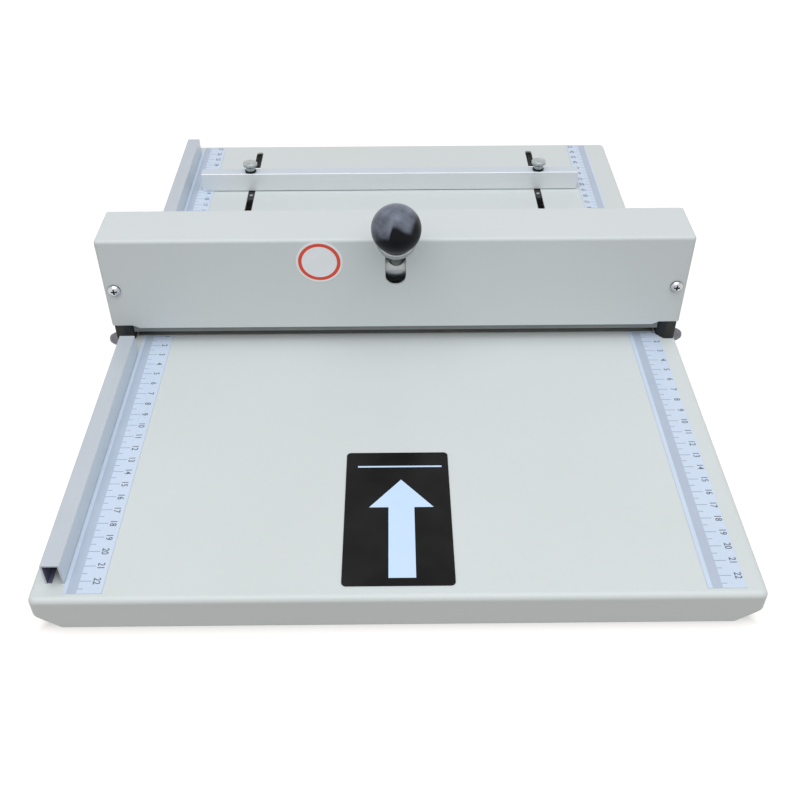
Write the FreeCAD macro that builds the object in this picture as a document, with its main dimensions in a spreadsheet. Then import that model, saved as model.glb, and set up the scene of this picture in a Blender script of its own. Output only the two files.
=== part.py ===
"""Desktop paper creasing machine: a folded steel bed with a grooved die across it, and a hand lever that turns a cam
shaft and so presses a creasing blade down into the die.

Every piece is drawn about the crease line, with x across the bed, y towards its rear and z up from its top face.
seat() then moves it so that the machine stands on z = 0 with the middle of its bed at x = y = 0.
"""

import FreeCAD, Part
import math
import os
import re

import Sketcher
from FreeCAD import Vector

SIZES = [
    # bed
    ("bed_width", 375.0, "outside width of the bed"),
    ("bed_front", 232.4, "crease line to the front face of the bed"),
    ("bed_rear", 277.0, "crease line to the rear face of the bed"),
    ("bed_sheet", 1.5, "sheet thickness of the bed"),
    ("bed_drop", 21.0, "height of the folded edges"),
    ("bed_fold", 3.2, "outside radius of the folds along the top"),
    ("bed_corner", 4.0, "outside radius of the upright corners"),
    ("corner_clip", 14.0, "length of the clip at the foot of each upright corner"),
    ("clip_rise", 10.5, "height of the clip at the foot of each upright corner"),
    ("lip_width", 24.0, "width of the return lips under the sides"),
    ("lip_inset", 26.0, "distance of the lips from the bed's ends"),
    # feet
    ("foot_height", 9.0, "height of the rubber feet below the lips"),
    ("foot_radius", 11.0, "radius of a foot at its top"),
    ("foot_taper", 2.0, "loss of radius towards the foot's sole"),
    ("foot_inset_across", 14.0, "foot centre to the bed's side face"),
    ("foot_inset_along", 40.0, "foot centre to the bed's end face"),
    ("foot_screw", 4.0, "thread diameter of the foot screws"),
    ("foot_recess", 4.2, "depth of the screw recess in a foot"),
    # die and the beam below the bed
    ("block_width", 12.5, "width of an end block along the crease"),
    ("die_width", 16.0, "width of the die strip"),
    ("die_height", 6.0, "height of the die strip"),
    ("die_end_gap", 1.0, "gap between the die's end and the end block"),
    ("die_groove", 1.6, "width of the creasing groove"),
    ("die_groove_depth", 1.2, "depth of the creasing groove"),
    ("die_bevel", 0.5, "bevel along the die's upper edges"),
    ("die_fit", 0.2, "clearance round the die strip"),
    ("die_screw", 4.0, "thread diameter of the die screws"),
    ("die_screw_inset", 14.0, "outer die screw to the die's end"),
    ("beam_width", 36.0, "width of the lower beam"),
    ("beam_height", 16.0, "height of the lower beam"),
    ("beam_end_gap", 0.2, "clearance at each end of the lower beam"),
    ("beam_bevel", 2.4, "bevel that clears the bed's folds"),
    ("side_bolt", 6.0, "thread diameter of the side bolts"),
    ("side_bolt_drop", 8.3, "side bolt axis below the bed's top"),
    ("side_bolt_head", 10.0, "head diameter of the side bolts"),
    ("side_bolt_dome", 8.5, "head height of the side bolts"),
    ("side_bolt_grip", 11.0, "side bolt length under the head"),
    # end blocks
    ("block_step", 13.7, "height of the end block's wide foot"),
    ("block_bevel", 4.5, "bevel on the block's inner corners"),
    ("block_edge", 1.0, "bevel on the outer corners inside the cover"),
    ("guide_groove_depth", 6.0, "depth of the upright guide groove"),
    ("groove_drop", 9.5, "shaft axis to the top of the guide groove"),
    ("block_screw", 5.0, "thread diameter of the block screws"),
    ("block_screw_spread", 21.0, "spacing of a block's two screws"),
    ("block_screw_inset", 6.5, "block screw axis to the bed's side face"),
    ("block_screw_reach", 10.0, "depth of the block screws in the block"),
    # cover
    ("cover_front", 16.0, "crease line to the cover's front face"),
    ("cover_rear", 22.5, "crease line to the cover's rear face"),
    ("cover_top", 78.0, "bed top to the cover's top face"),
    ("cover_gap", 11.8, "bed top to the cover's lower edge"),
    ("cover_sheet", 1.5, "sheet thickness of the cover"),
    ("cover_fold", 2.2, "outside radius of the cover's folds"),
    ("cover_fit", 0.3, "clearance inside the cover"),
    ("notch_gap", 1.0, "gap between an end block's inner face and the notch's level part"),
    ("notch_slant", 4.5, "sloping part of the notch"),
    ("slot_width", 13.0, "width of the lever slot"),
    ("slot_drop", 4.9, "shaft axis to the lowest point of the lever slot"),
    ("slot_reach", 5.0, "depth of the lever slot over the top edge"),
    ("cover_screw", 4.0, "thread diameter of the cover screws"),
    ("cover_screw_inset", 7.0, "cover screw axis to the cover's end"),
    ("cover_screw_drop", 36.2, "cover's top face to the cover screw axis"),
    ("cover_screw_head", 7.8, "head diameter of the cover screws"),
    ("cover_screw_dome", 2.6, "head height of the cover screws"),
    ("cover_screw_grip", 7.5, "cover screw length under the head"),
    ("cross_width", 1.1, "width of the cross recess"),
    # tie beam and shaft saddles
    ("tie_height", 8.0, "thickness of the tie beam"),
    ("tie_gap", 6.0, "tie beam to the inside of the cover's top"),
    ("tie_front", 8.0, "crease line to the tie beam's front edge"),
    ("tie_notch_width", 18.0, "width of the lever notch in the tie beam"),
    ("tie_notch_back", 0.5, "crease line to the back of the lever notch"),
    ("tie_screw", 4.0, "thread diameter of the tie beam's screws"),
    ("tie_screw_front", 2.5, "crease line to the front tie screw"),
    ("tie_screw_rear", 14.0, "crease line to the rear tie screw"),
    ("tie_screw_reach", 5.0, "depth of the tie screws below the beam"),
    ("saddle_offset", 52.0, "machine centre to a shaft saddle"),
    ("saddle_width", 12.0, "width of a shaft saddle along the shaft"),
    ("saddle_front", 7.0, "shaft axis to the saddle's front face"),
    # press bar
    ("bar_front", 12.5, "crease line to the press bar's front face"),
    ("bar_rear", 5.5, "crease line to the press bar's rear face"),
    ("bar_floor", 6.5, "bed top to the press bar's lower face"),
    ("bar_end_gap", 0.5, "clearance at each end of the press bar"),
    ("shoulder_drop", 13.5, "shaft axis to the floor of the bar's top notches"),
    ("bar_end_notch", 9.0, "length of the notch at each end of the bar"),
    ("hub_notch", 36.0, "length of the notch below the lever hub"),
    ("tongue_width", 9.6, "width of the tongues in the guide grooves"),
    ("tongue_floor", 16.0, "bed top to the underside of a tongue"),
    ("tongue_drop", 2.0, "floor of the bar's top notches to the top of a tongue"),
    ("slide_fit", 0.2, "clearance of a tongue in its groove"),
    ("press_stroke", 5.8, "travel of the press bar"),
    ("blade_thickness", 1.5, "thickness of the creasing blade"),
    ("blade_slot_depth", 8.0, "depth of the blade slot"),
    ("blade_reach", 1.3, "blade standing below the press bar"),
    ("blade_fit", 0.05, "clearance of the blade in its slot"),
    ("blade_tip", 0.7, "rounding of the blade's edge"),
    ("blade_inset", 2.0, "blade end to the end block"),
    ("blade_screw", 4.0, "diameter of the blade's set screws"),
    ("blade_screw_rise", 4.0, "set screw axis above the bar's lower face"),
    ("blade_screw_inset", 25.0, "outer set screw to the end block"),
    ("blade_screw_socket", 2.0, "socket of the set screws across flats"),
    # return springs
    ("spring_wire", 0.9, "wire diameter of the return springs"),
    ("spring_radius", 2.3, "mean radius of the return springs"),
    ("spring_turns", 4.0, "turns of the return springs"),
    # shaft and cams
    ("shaft_diameter", 10.0, "cam shaft diameter"),
    ("shaft_back", 1.5, "crease line to the shaft axis"),
    ("shaft_drop", 13.0, "top of the end blocks to the shaft axis"),
    ("shaft_fit", 0.05, "radial running clearance of the shaft"),
    ("bush_wall", 2.0, "wall of the shaft bushes"),
    ("bush_flange", 18.0, "flange diameter of the shaft bushes"),
    ("bush_flange_width", 1.2, "flange thickness of the shaft bushes"),
    ("ring_width", 1.0, "thickness of the retaining rings"),
    ("ring_depth", 0.8, "depth of the ring grooves in the shaft"),
    ("ring_diameter", 14.0, "outside diameter of the retaining rings"),
    ("ring_gap", 0.3, "gap between ring and bush flange"),
    ("cam_offset", 95.0, "machine centre to a cam"),
    ("cam_width", 16.0, "width of a cam"),
    ("cam_low_radius", 7.0, "cam radius at rest"),
    ("cam_gap", 0.3, "gap between cam and press bar"),
    ("cam_lead", 4.0, "extra cam angle at each end of its working part"),
    ("fixed_fit", 0.02, "clearance of pieces fixed to the shaft"),
    ("pin_diameter", 3.0, "diameter of the spring pins"),
    # lever
    ("lever_angle", 51.7, "rise of the lever at rest, in degrees"),
    ("lever_swing", 47.0, "swing of the lever, in degrees"),
    ("hub_radius", 11.5, "radius of the lever hub"),
    ("hub_width", 32.0, "width of the lever hub"),
    ("hub_seat", 9.8, "shaft axis to the stem's seat on the hub"),
    ("hub_seat_diameter", 11.0, "diameter of the stem's seat on the hub"),
    ("hub_pin_offset", 11.0, "middle of the lever to the hub's pin"),
    ("lever_offset", 0.5, "machine centre to the middle of the lever"),
    ("stem_diameter", 10.0, "lever stem diameter"),
    ("stem_thread", 8.0, "thread diameter at both ends of the stem"),
    ("stem_thread_end", 5.4, "shaft axis to the stem's inner end"),
    ("collar_floor", 41.4, "shaft axis to the underside of the stem's collar"),
    ("collar_top", 47.2, "shaft axis to the ball's seat on the collar"),
    ("collar_diameter", 24.8, "diameter of the collar below the ball"),
    ("collar_flare", 6.2, "radius of the flare from the stem to the collar"),
    ("collar_edge", 0.6, "bevel on the collar's rim"),
    ("ball_radius", 15.0, "radius of the ball knob"),
    ("ball_centre", 60.5, "shaft axis to the ball's centre"),
    ("ball_thread_depth", 11.0, "depth of the thread in the ball"),
    ("thread_fit", 0.05, "clearance of threaded pieces"),
    # side lays
    ("lay_width", 9.8, "width of the side lay channels"),
    ("lay_height", 13.8, "height of the side lay channels"),
    ("lay_wall", 1.0, "wall of the side lay channels"),
    ("lay_inset", 7.3, "channel's outer face to the bed's side face"),
    ("lay_front_end", 221.2, "crease line to the front channel's end"),
    ("lay_rear_end", 262.0, "crease line to the rear channel's end"),
    ("lay_gap", 0.3, "gap between channels and cover"),
    ("lay_block_length", 14.0, "length of the fixing blocks in a channel"),
    ("lay_block_height", 9.0, "height of the fixing blocks"),
    ("lay_block_margin", 30.0, "fixing block to the end of its channel"),
    ("lay_screw", 4.0, "thread diameter of the channel screws"),
    # scales and labels
    ("scale_width", 20.0, "width of the plastic scales"),
    ("scale_thickness", 0.4, "thickness of the plastic scales"),
    ("scale_start", 9.0, "crease line to the near end of a scale"),
    ("scale_front_end", 228.0, "crease line to the far end of a front scale"),
    ("scale_rear_end", 272.0, "crease line to the far end of a rear scale"),
    ("scale_left_inset", 17.4, "left scales to the bed's left face"),
    ("scale_right_inset", 10.7, "front right scale to the bed's right face"),
    ("scale_rear_inset", 16.9, "rear right scale to the bed's right face"),
    ("scale_rear_width", 17.0, "width of the rear right scale"),
    ("scale_gap", 0.3, "gap between a trimmed scale and the end block"),
    ("plate_width", 58.5, "width of the arrow plate"),
    ("plate_length", 98.5, "length of the arrow plate"),
    ("plate_thickness", 0.5, "thickness of the arrow plate"),
    ("plate_corner", 2.5, "corner radius of the arrow plate"),
    ("plate_start", 126.2, "crease line to the arrow plate's rear edge"),
    ("disc_diameter", 29.4, "diameter of the round label"),
    ("disc_thickness", 0.3, "thickness of the round label"),
    ("disc_offset", 48.0, "machine centre to the round label's centre"),
    ("disc_drop", 16.0, "cover's top face to the round label's centre"),
    # backstop
    ("stop_left_inset", 28.6, "left end of the backstop bar to the bed's left face"),
    ("stop_right_inset", 36.5, "right end of the backstop bar to the bed's right face"),
    ("stop_depth", 10.0, "depth of the backstop bar"),
    ("stop_height", 15.0, "height of the backstop bar"),
    ("stop_wall", 2.0, "wall of the backstop bar"),
    ("stop_lift", 0.3, "clearance of the bar above the scales"),
    ("stop_place", 192.6, "crease line to the bar's front face at rest"),
    ("stop_edge", 0.8, "rounding of the bar's upper edges"),
    ("track_offset", 118.5, "machine centre to a bed slot"),
    ("track_width", 5.5, "width of the bed slots"),
    ("track_near", 60.0, "crease line to the near end of the slots"),
    ("track_far", 264.0, "crease line to the far end of the slots"),
    ("shoe_fit", 0.2, "clearance of the shoes in and below the slots"),
    ("shoe_width", 20.0, "width of the shoe plates below the bed"),
    ("shoe_length", 39.0, "length of the shoes"),
    ("shoe_height", 4.0, "thickness of the shoe plates"),
    ("shoe_pin", 3.0, "diameter of the shoe pins"),
    ("shoe_pin_offset", 11.3, "clamp stud axis to the shoe pin"),
    ("stud_diameter", 4.0, "thread diameter of the clamp studs"),
    ("nut_flats", 7.0, "clamp nut across flats"),
    ("nut_height", 3.2, "height of a clamp nut"),
    ("washer_radius", 4.6, "radius of the clamp washers"),
    ("washer_height", 1.0, "thickness of the clamp washers"),
    ("neck_radius", 3.8, "radius of a thumb screw's neck"),
    ("neck_height", 4.6, "height of a thumb screw's neck"),
    ("head_radius", 5.8, "radius of a thumb screw's head"),
    ("head_height", 2.6, "height of a thumb screw's head"),
    ("head_dome", 0.7, "height of the dome on a thumb screw's head"),
    ("stud_tail", 1.5, "stud standing out below its nut"),
]

# sizes that follow from others, so that pieces which meet keep meeting
DERIVED = [
    ("working_width", "bed_width - 2 * block_width", "width between the end blocks"),
    ("block_height", "cover_top - cover_sheet - tie_gap - tie_height", "height of an end block"),
    ("shaft_rise", "block_height - shaft_drop", "bed top to the shaft axis"),
    ("guide_groove_height", "shaft_rise - groove_drop", "height of the upright guide groove"),
    ("slot_floor", "shaft_rise - slot_drop", "bed top to the lowest point of the lever slot"),
    ("bar_shoulder", "shaft_rise - shoulder_drop", "bed top to the floor of the bar's top notches"),
    ("tongue_top", "bar_shoulder - tongue_drop", "bed top to the top of a tongue"),
    ("cover_screw_rise", "cover_top - cover_screw_drop", "bed top to the cover screw axis"),
    ("disc_rise", "cover_top - disc_drop", "bed top to the round label's centre"),
    ("notch_width", "block_width + notch_gap", "level part of the notch over an end block"),
    ("die_screw_pitch", "(working_width / 2 - die_end_gap - die_screw_inset) / 2", "spacing of the die screws"),
    ("blade_screw_pitch", "(working_width / 2 - blade_screw_inset) / 2", "spacing of the set screws"),
    ("stop_length", "bed_width - stop_left_inset - stop_right_inset", "length of the backstop bar"),
]

doc = FreeCAD.newDocument("creasing_machine")
sheet = doc.addObject("Spreadsheet::Sheet", "Sizes")
rows = [(alias, str(number), note) for alias, number, note in SIZES]
rows += [(alias, "=" + rule, note) for alias, rule, note in DERIVED]
for line, (alias, content, note) in enumerate(rows, start=1):
    sheet.set(f"A{line}", note)
    sheet.set(f"B{line}", content)
    sheet.setAlias(f"B{line}", alias)
doc.recompute()

# places that several pieces share, written as formulas on the sheet's cells
MIDDLE = "((bed_front - bed_rear) / 2)"
BED_TOP = "(foot_height + bed_drop)"
HALF_BED = "(bed_width / 2)"
HALF_WORK = "(working_width / 2)"
HALF_DIE = "(working_width / 2 - die_end_gap)"
HALF_COVER_IN = "(bed_width / 2 - cover_sheet - cover_fit)"
COVER_FRONT_IN = "(-cover_front + cover_sheet + cover_fit)"
COVER_REAR_IN = "(cover_rear - cover_sheet - cover_fit)"
BAR_TOP = "(shaft_rise - cam_low_radius - cam_gap)"
SLOT_CENTRE = "(slot_floor + slot_width / 2)"
BLOCK_SCREW_X = "(bed_width / 2 - block_screw_inset)"
COVER_SCREW_X = "(bed_width / 2 - cover_screw_inset)"
LAY_X = "(-bed_width / 2 + lay_inset + lay_width / 2)"
STOP_MIDDLE = "(stop_place + stop_depth / 2)"
STOP_FLOOR = "(scale_thickness + stop_lift)"
STOP_TOP = "(scale_thickness + stop_lift + stop_height)"

SOCKET_DEPTH_SHARE = 0.5
HEX_SIDES = 6

parts = {}


def size(alias):
    """The number in a size's cell."""
    return float(sheet.get(alias))


def formula(text):
    """Points every size named in text at its cell of the sheet."""
    return re.sub(r"[a-z]+(_[a-z]+)+", lambda name: "Sizes." + name.group(), str(text))


def bind(thing, **sizes):
    """Binds properties of a document object to formulas."""
    for name, text in sizes.items():
        thing.setExpression(name, formula(text))
    return thing


def seat(part, x="0", y="0", z="0", turn=None):
    """Moves a piece drawn about the crease line to its place on the standing machine."""
    if turn:
        part.Placement.Rotation = FreeCAD.Rotation(Vector(1, 0, 0), 1)
        part.setExpression("Placement.Rotation.Angle", formula(turn))
    part.setExpression("Placement.Base.x", formula(x))
    part.setExpression("Placement.Base.y", formula(f"{MIDDLE} + {y}"))
    part.setExpression("Placement.Base.z", formula(f"{BED_TOP} + {z}"))
    return part


def keep(name, part):
    """Names a finished sub-part."""
    part.Label = name
    parts[name] = part
    return part


def new_body(name):
    return doc.addObject("PartDesign::Body", name + "_body")


def sketch(body, plane, offset="0"):
    """An empty sketch on one of the body's own origin planes, moved along the plane's normal."""
    drawing = body.newObject("Sketcher::SketchObject", body.Name + "_sketch")
    origin = next(item for item in body.Origin.OriginFeatures if item.Role == plane + "_Plane")
    drawing.AttachmentSupport = (origin, "")
    drawing.MapMode = "FlatFace"
    drawing.setExpression("AttachmentOffset.Base.z", formula(offset))
    return drawing


def locate(drawing, geometry, point, x, y):
    """Ties one point of a sketch to the sketch's origin by two bound distances."""
    for kind, text in (("DistanceX", x), ("DistanceY", y)):
        index = drawing.addConstraint(Sketcher.Constraint(kind, -1, 1, geometry, point, 1.0))
        drawing.setExpression(f"Constraints[{index}]", formula(text))


def outline(body, plane, *loops, offset="0"):
    """A sketch of closed straight-sided loops, each a list of corners given as pairs of formulas."""
    drawing = sketch(body, plane, offset)
    for corners in loops:
        count = len(corners)
        start = [Vector(math.cos(a), math.sin(a), 0) for a in (2 * math.pi * i / count for i in range(count))]
        sides = [
            drawing.addGeometry(Part.LineSegment(start[i], start[(i + 1) % count]), False) for i in range(count)
        ]
        for i in range(count):
            drawing.addConstraint(Sketcher.Constraint("Coincident", sides[i], 2, sides[(i + 1) % count], 1))
        for side, (x, y) in zip(sides, corners):
            locate(drawing, side, 1, x, y)
    return drawing


def box(left, right, low, high):
    """The corners of a rectangle."""
    return [(left, low), (right, low), (right, high), (left, high)]


def circles(body, plane, diameter, *centres, offset="0"):
    """A sketch of equal circles, each centre a pair of formulas."""
    drawing = sketch(body, plane, offset)
    for x, y in centres:
        circle = drawing.addGeometry(Part.Circle(Vector(0, 0, 0), Vector(0, 0, 1), 1), False)
        index = drawing.addConstraint(Sketcher.Constraint("Diameter", circle, 2.0))
        drawing.setExpression(f"Constraints[{index}]", formula(diameter))
        locate(drawing, circle, 3, x, y)
    return drawing


def feature(body, kind, drawing, length, back, both_ways):
    """Adds a pad or a pocket along the sketch's normal and returns it."""
    made = body.newObject("PartDesign::" + kind, body.Name + "_" + kind.lower())
    made.Profile = drawing
    if both_ways:
        made.SideType = "Symmetric"
    made.Reversed = back
    if length is None:
        made.Type = "ThroughAll"
    else:
        bind(made, Length=length)
    doc.recompute()
    return made


def pad(body, drawing, length, back=False, both_ways=False):
    return feature(body, "Pad", drawing, length, back, both_ways)


def cut(body, drawing, length=None, back=False, both_ways=False):
    """A pocket that has to remove something; without a length it goes right through."""
    before = body.Shape.Volume
    made = feature(body, "Pocket", drawing, length, back, both_ways)
    if not body.Shape.Volume < before:
        raise RuntimeError(made.Name + " removes nothing")
    return made


def soften(body, kind, amount, wanted):
    """Fillets or chamfers the body's edges whose bounding box passes the test."""
    base = body.Tip
    names = [f"Edge{i}" for i, edge in enumerate(base.Shape.Edges, start=1) if wanted(edge.BoundBox)]
    made = body.newObject("PartDesign::" + kind, body.Name + "_" + kind.lower())
    made.Base = (base, names)
    bind(made, **{"Radius" if kind == "Fillet" else "Size": amount})
    doc.recompute()
    return made


def hollow(body, wall, mouth):
    """Leaves a wall of even thickness, open through the level face at the height of the mouth."""
    base = body.Tip
    faces = enumerate(base.Shape.Faces, start=1)
    names = [f"Face{i}" for i, face in faces if near(face.BoundBox.ZMin, mouth) and near(face.BoundBox.ZMax, mouth)]
    made = body.newObject("PartDesign::Thickness", body.Name + "_thickness")
    made.Base = (base, names)
    made.Reversed = True
    bind(made, Value=wall)
    doc.recompute()
    return made


def turn_about(body, drawing, axis):
    """Revolves a sketch about one of its own axes."""
    made = body.newObject("PartDesign::Revolution", body.Name + "_turned")
    made.Profile = drawing
    made.ReferenceAxis = (drawing, [axis])
    made.Angle = 360.0
    doc.recompute()
    return made


def turned(name, corners):
    """A piece turned about z from (radius, height) corners."""
    body = new_body(name)
    turn_about(body, outline(body, "XZ", corners), "V_Axis")
    return body


def mirrored(name, source, normal=(1, 0, 0), at="0"):
    """The mirror image of a seated piece, in the plane across x or y at a given place."""
    image = doc.addObject("Part::Mirroring", name)
    image.Source = source
    image.Normal = Vector(*normal)
    image.setExpression("Base.y", formula(at))
    return image


def group(name, *members):
    """Equal pieces kept as one node of separate solids."""
    compound = doc.addObject("Part::Compound", name)
    compound.Links = list(members)
    return compound


def pair(name, right):
    """A seated piece of the right side together with its mirror image on the left."""
    return group(name, right, mirrored(name + "_left", right))


def spread(name, form, spots):
    """Copies of a form that is drawn about its own origin, one at each placement."""
    doc.recompute()
    copies = doc.addObject("Part::Feature", name)
    copies.Shape = Part.makeCompound([form.Shape.transformed(place.toMatrix(), True) for place in spots])
    return copies


def spot(x, y, z, axis=(0, 0, 1)):
    """A placement that turns a form's z axis to the given direction."""
    return FreeCAD.Placement(Vector(x, y, z), FreeCAD.Rotation(Vector(0, 0, 1), Vector(*axis)))


def near(a, b):
    return abs(a - b) < 0.01


def make_bed():
    """Tray folded from sheet, with the die opening, the backstop's slots and return lips for the feet."""
    body = new_body("bed")
    pad(body, outline(body, "XY", box(f"-{HALF_BED}", HALF_BED, "-bed_front", "bed_rear")), "bed_drop", back=True)
    soften(body, "Fillet", "bed_corner", lambda b: near(b.ZLength, size("bed_drop")))
    soften(body, "Fillet", "bed_fold", lambda b: near(b.ZMin, 0) and near(b.ZMax, 0))
    hollow(body, "bed_sheet", -size("bed_drop"))
    lip_in = f"{HALF_BED} - bed_sheet - lip_width"
    lip_ends = ("-bed_front + lip_inset", "bed_rear - lip_inset")
    lips = outline(
        body,
        "XY",
        box(lip_in, f"{HALF_BED} - bed_sheet / 2", *lip_ends),
        box(f"-{HALF_BED} + bed_sheet / 2", f"-({lip_in})", *lip_ends),
        offset="-bed_drop",
    )
    pad(body, lips, "bed_sheet")
    clip = [("0", "-bed_drop"), ("corner_clip / sqrt(2)", "-bed_drop"), ("0", "-bed_drop + clip_rise")]
    for x, y, inwards in BED_CORNERS:
        drawing = outline(body, "XZ", clip, offset=f"-({y})")
        drawing.AttachmentOffset = FreeCAD.Placement(Vector(), FreeCAD.Rotation(Vector(0, 1, 0), inwards))
        bind(drawing, **{"AttachmentOffset.Base.x": x})
        cut(body, drawing, both_ways=True)
    die_hole = box(
        f"-{HALF_DIE} - die_fit", f"{HALF_DIE} + die_fit", "-die_width / 2 - die_fit", "die_width / 2 + die_fit"
    )
    cut(body, outline(body, "XY", die_hole), "bed_sheet")
    tracks = [
        box(f"{s}track_offset - track_width / 2", f"{s}track_offset + track_width / 2",
            "track_near + track_width / 2", "track_far - track_width / 2")
        for s in ("", "-")
    ]
    cut(body, outline(body, "XY", *tracks), "bed_sheet")
    track_ends = [
        (f"{s}track_offset", end) for s in ("", "-")
        for end in ("track_near + track_width / 2", "track_far - track_width / 2")
    ]
    cut(body, circles(body, "XY", "track_width", *track_ends), "bed_sheet")
    block_screws = [(f"{s}{BLOCK_SCREW_X}", f"{t}block_screw_spread / 2") for s in ("", "-") for t in ("", "-")]
    cut(body, circles(body, "XY", "block_screw + 0.4", *block_screws), "bed_sheet")
    cut(body, circles(body, "XY", "lay_screw + 0.4", *[(LAY_X, y) for y in LAY_SCREWS]), "bed_sheet")
    cut(body, circles(body, "XY", "foot_screw + 0.4", *FOOT_CENTRES, offset="-bed_drop"), "bed_sheet", back=True)
    cut(body, circles(body, "YZ", "side_bolt + 0.4", ("0", "-side_bolt_drop")), both_ways=True)
    return keep("bed", seat(body))


# each corner of the bed, and the direction from it towards the bed's middle
BED_CORNERS = (
    (HALF_BED, "-bed_front", 135),
    (f"-{HALF_BED}", "-bed_front", 45),
    (HALF_BED, "bed_rear", 225),
    (f"-{HALF_BED}", "bed_rear", 315),
)
FOOT_CENTRES = [
    (f"{s}({HALF_BED} - foot_inset_across)", y)
    for s in ("", "-")
    for y in ("-bed_front + foot_inset_along", "bed_rear - foot_inset_along")
]
LAY_SCREWS = [
    "-lay_front_end + lay_block_margin",
    "-cover_front - lay_block_margin",
    "cover_rear + lay_block_margin",
    "lay_rear_end - lay_block_margin",
]


def make_feet():
    """Tapered rubber feet under the lips, each held by a pan-head screw and a nut."""
    foot = turned(
        "foot",
        [
            ("foot_screw / 2 + thread_fit", "0"),
            ("foot_radius", "0"),
            ("foot_radius - foot_taper", "-foot_height"),
            ("foot_screw", "-foot_height"),
            ("foot_screw", "-foot_height + foot_recess"),
            ("foot_screw / 2 + thread_fit", "-foot_height + foot_recess"),
        ],
    )
    across = size("bed_width") / 2 - size("foot_inset_across")
    rows = (-size("bed_front") + size("foot_inset_along"), size("bed_rear") - size("foot_inset_along"))
    drop = -size("bed_drop")
    centres = [(s * across, y) for s in (1, -1) for y in rows]
    keep("rubber_feet", seat(spread("rubber_feet", foot, [spot(x, y, drop) for x, y in centres])))
    screw = pan_screw("foot_screw_form", "foot_screw", "foot_screw * 0.95", "foot_screw * 0.6",
                      "foot_height - foot_recess + bed_sheet + foot_screw")
    under_head = drop - size("foot_height") + size("foot_recess")
    spots = [spot(x, y, under_head, (0, 0, -1)) for x, y in centres]
    keep("foot_screws", seat(spread("foot_screws", screw, spots)))
    nut = hex_nut("foot_nut_form", "foot_screw * 0.875 * 2", "foot_screw * 0.8", "foot_screw + 2 * thread_fit")
    spots = [spot(x, y, drop + size("bed_sheet")) for x, y in centres]
    keep("foot_nuts", seat(spread("foot_nuts", nut, spots)))


def pan_screw(name, thread, head_radius, head_height, grip):
    """Pan-head screw with a cross recess: the underside of its head lies at z = 0 and the head points up."""
    body = new_body(name)
    profile = [
        ("0", f"-({grip})"),
        (f"{thread} / 2", f"-({grip})"),
        (f"{thread} / 2", "0"),
        (head_radius, "0"),
        (head_radius, f"({head_height}) * 0.45"),
        (f"({head_radius}) * 0.72", f"({head_height}) * 0.85"),
        (f"({head_radius}) * 0.35", head_height),
        ("0", head_height),
    ]
    turn_about(body, outline(body, "XZ", profile), "V_Axis")
    arm = f"({head_radius}) * 0.5"
    half = "cross_width / 2"
    cross = [
        (arm, f"-{half}"), (arm, half), (half, half), (half, arm), (f"-{half}", arm), (f"-{half}", half),
        (f"-{arm}", half), (f"-{arm}", f"-{half}"), (f"-{half}", f"-{half}"), (f"-{half}", f"-{arm}"),
        (half, f"-{arm}"), (half, f"-{half}"),
    ]
    cut(body, outline(body, "XY", cross, offset=head_height), f"({head_height}) * {SOCKET_DEPTH_SHARE}")
    return body


def hexagon(flats):
    """The corners of a hexagon about the origin, from its size across flats."""
    return [
        (f"({flats}) / 2 / cos(30) * cos({60 * i})", f"({flats}) / 2 / cos(30) * sin({60 * i})")
        for i in range(HEX_SIDES)
    ]


def hex_nut(name, flats, height, bore):
    """Hexagon nut standing on z = 0."""
    body = new_body(name)
    pad(body, outline(body, "XY", hexagon(flats)), height)
    cut(body, circles(body, "XY", bore, ("0", "0")), back=True)
    return body


def cap_screw(name, thread, grip):
    """Socket cap screw: the underside of its head lies at z = 0 and the head points up."""
    body = new_body(name)
    profile = [
        ("0", f"-({grip})"), (f"{thread} / 2", f"-({grip})"), (f"{thread} / 2", "0"),
        (f"{thread} * 0.8", "0"), (f"{thread} * 0.8", f"{thread} * 0.9"), (f"{thread} * 0.7", thread), ("0", thread),
    ]
    turn_about(body, outline(body, "XZ", profile), "V_Axis")
    cut(body, outline(body, "XY", hexagon(f"{thread} * 0.8"), offset=thread), f"{thread} * {SOCKET_DEPTH_SHARE}")
    return body


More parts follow.
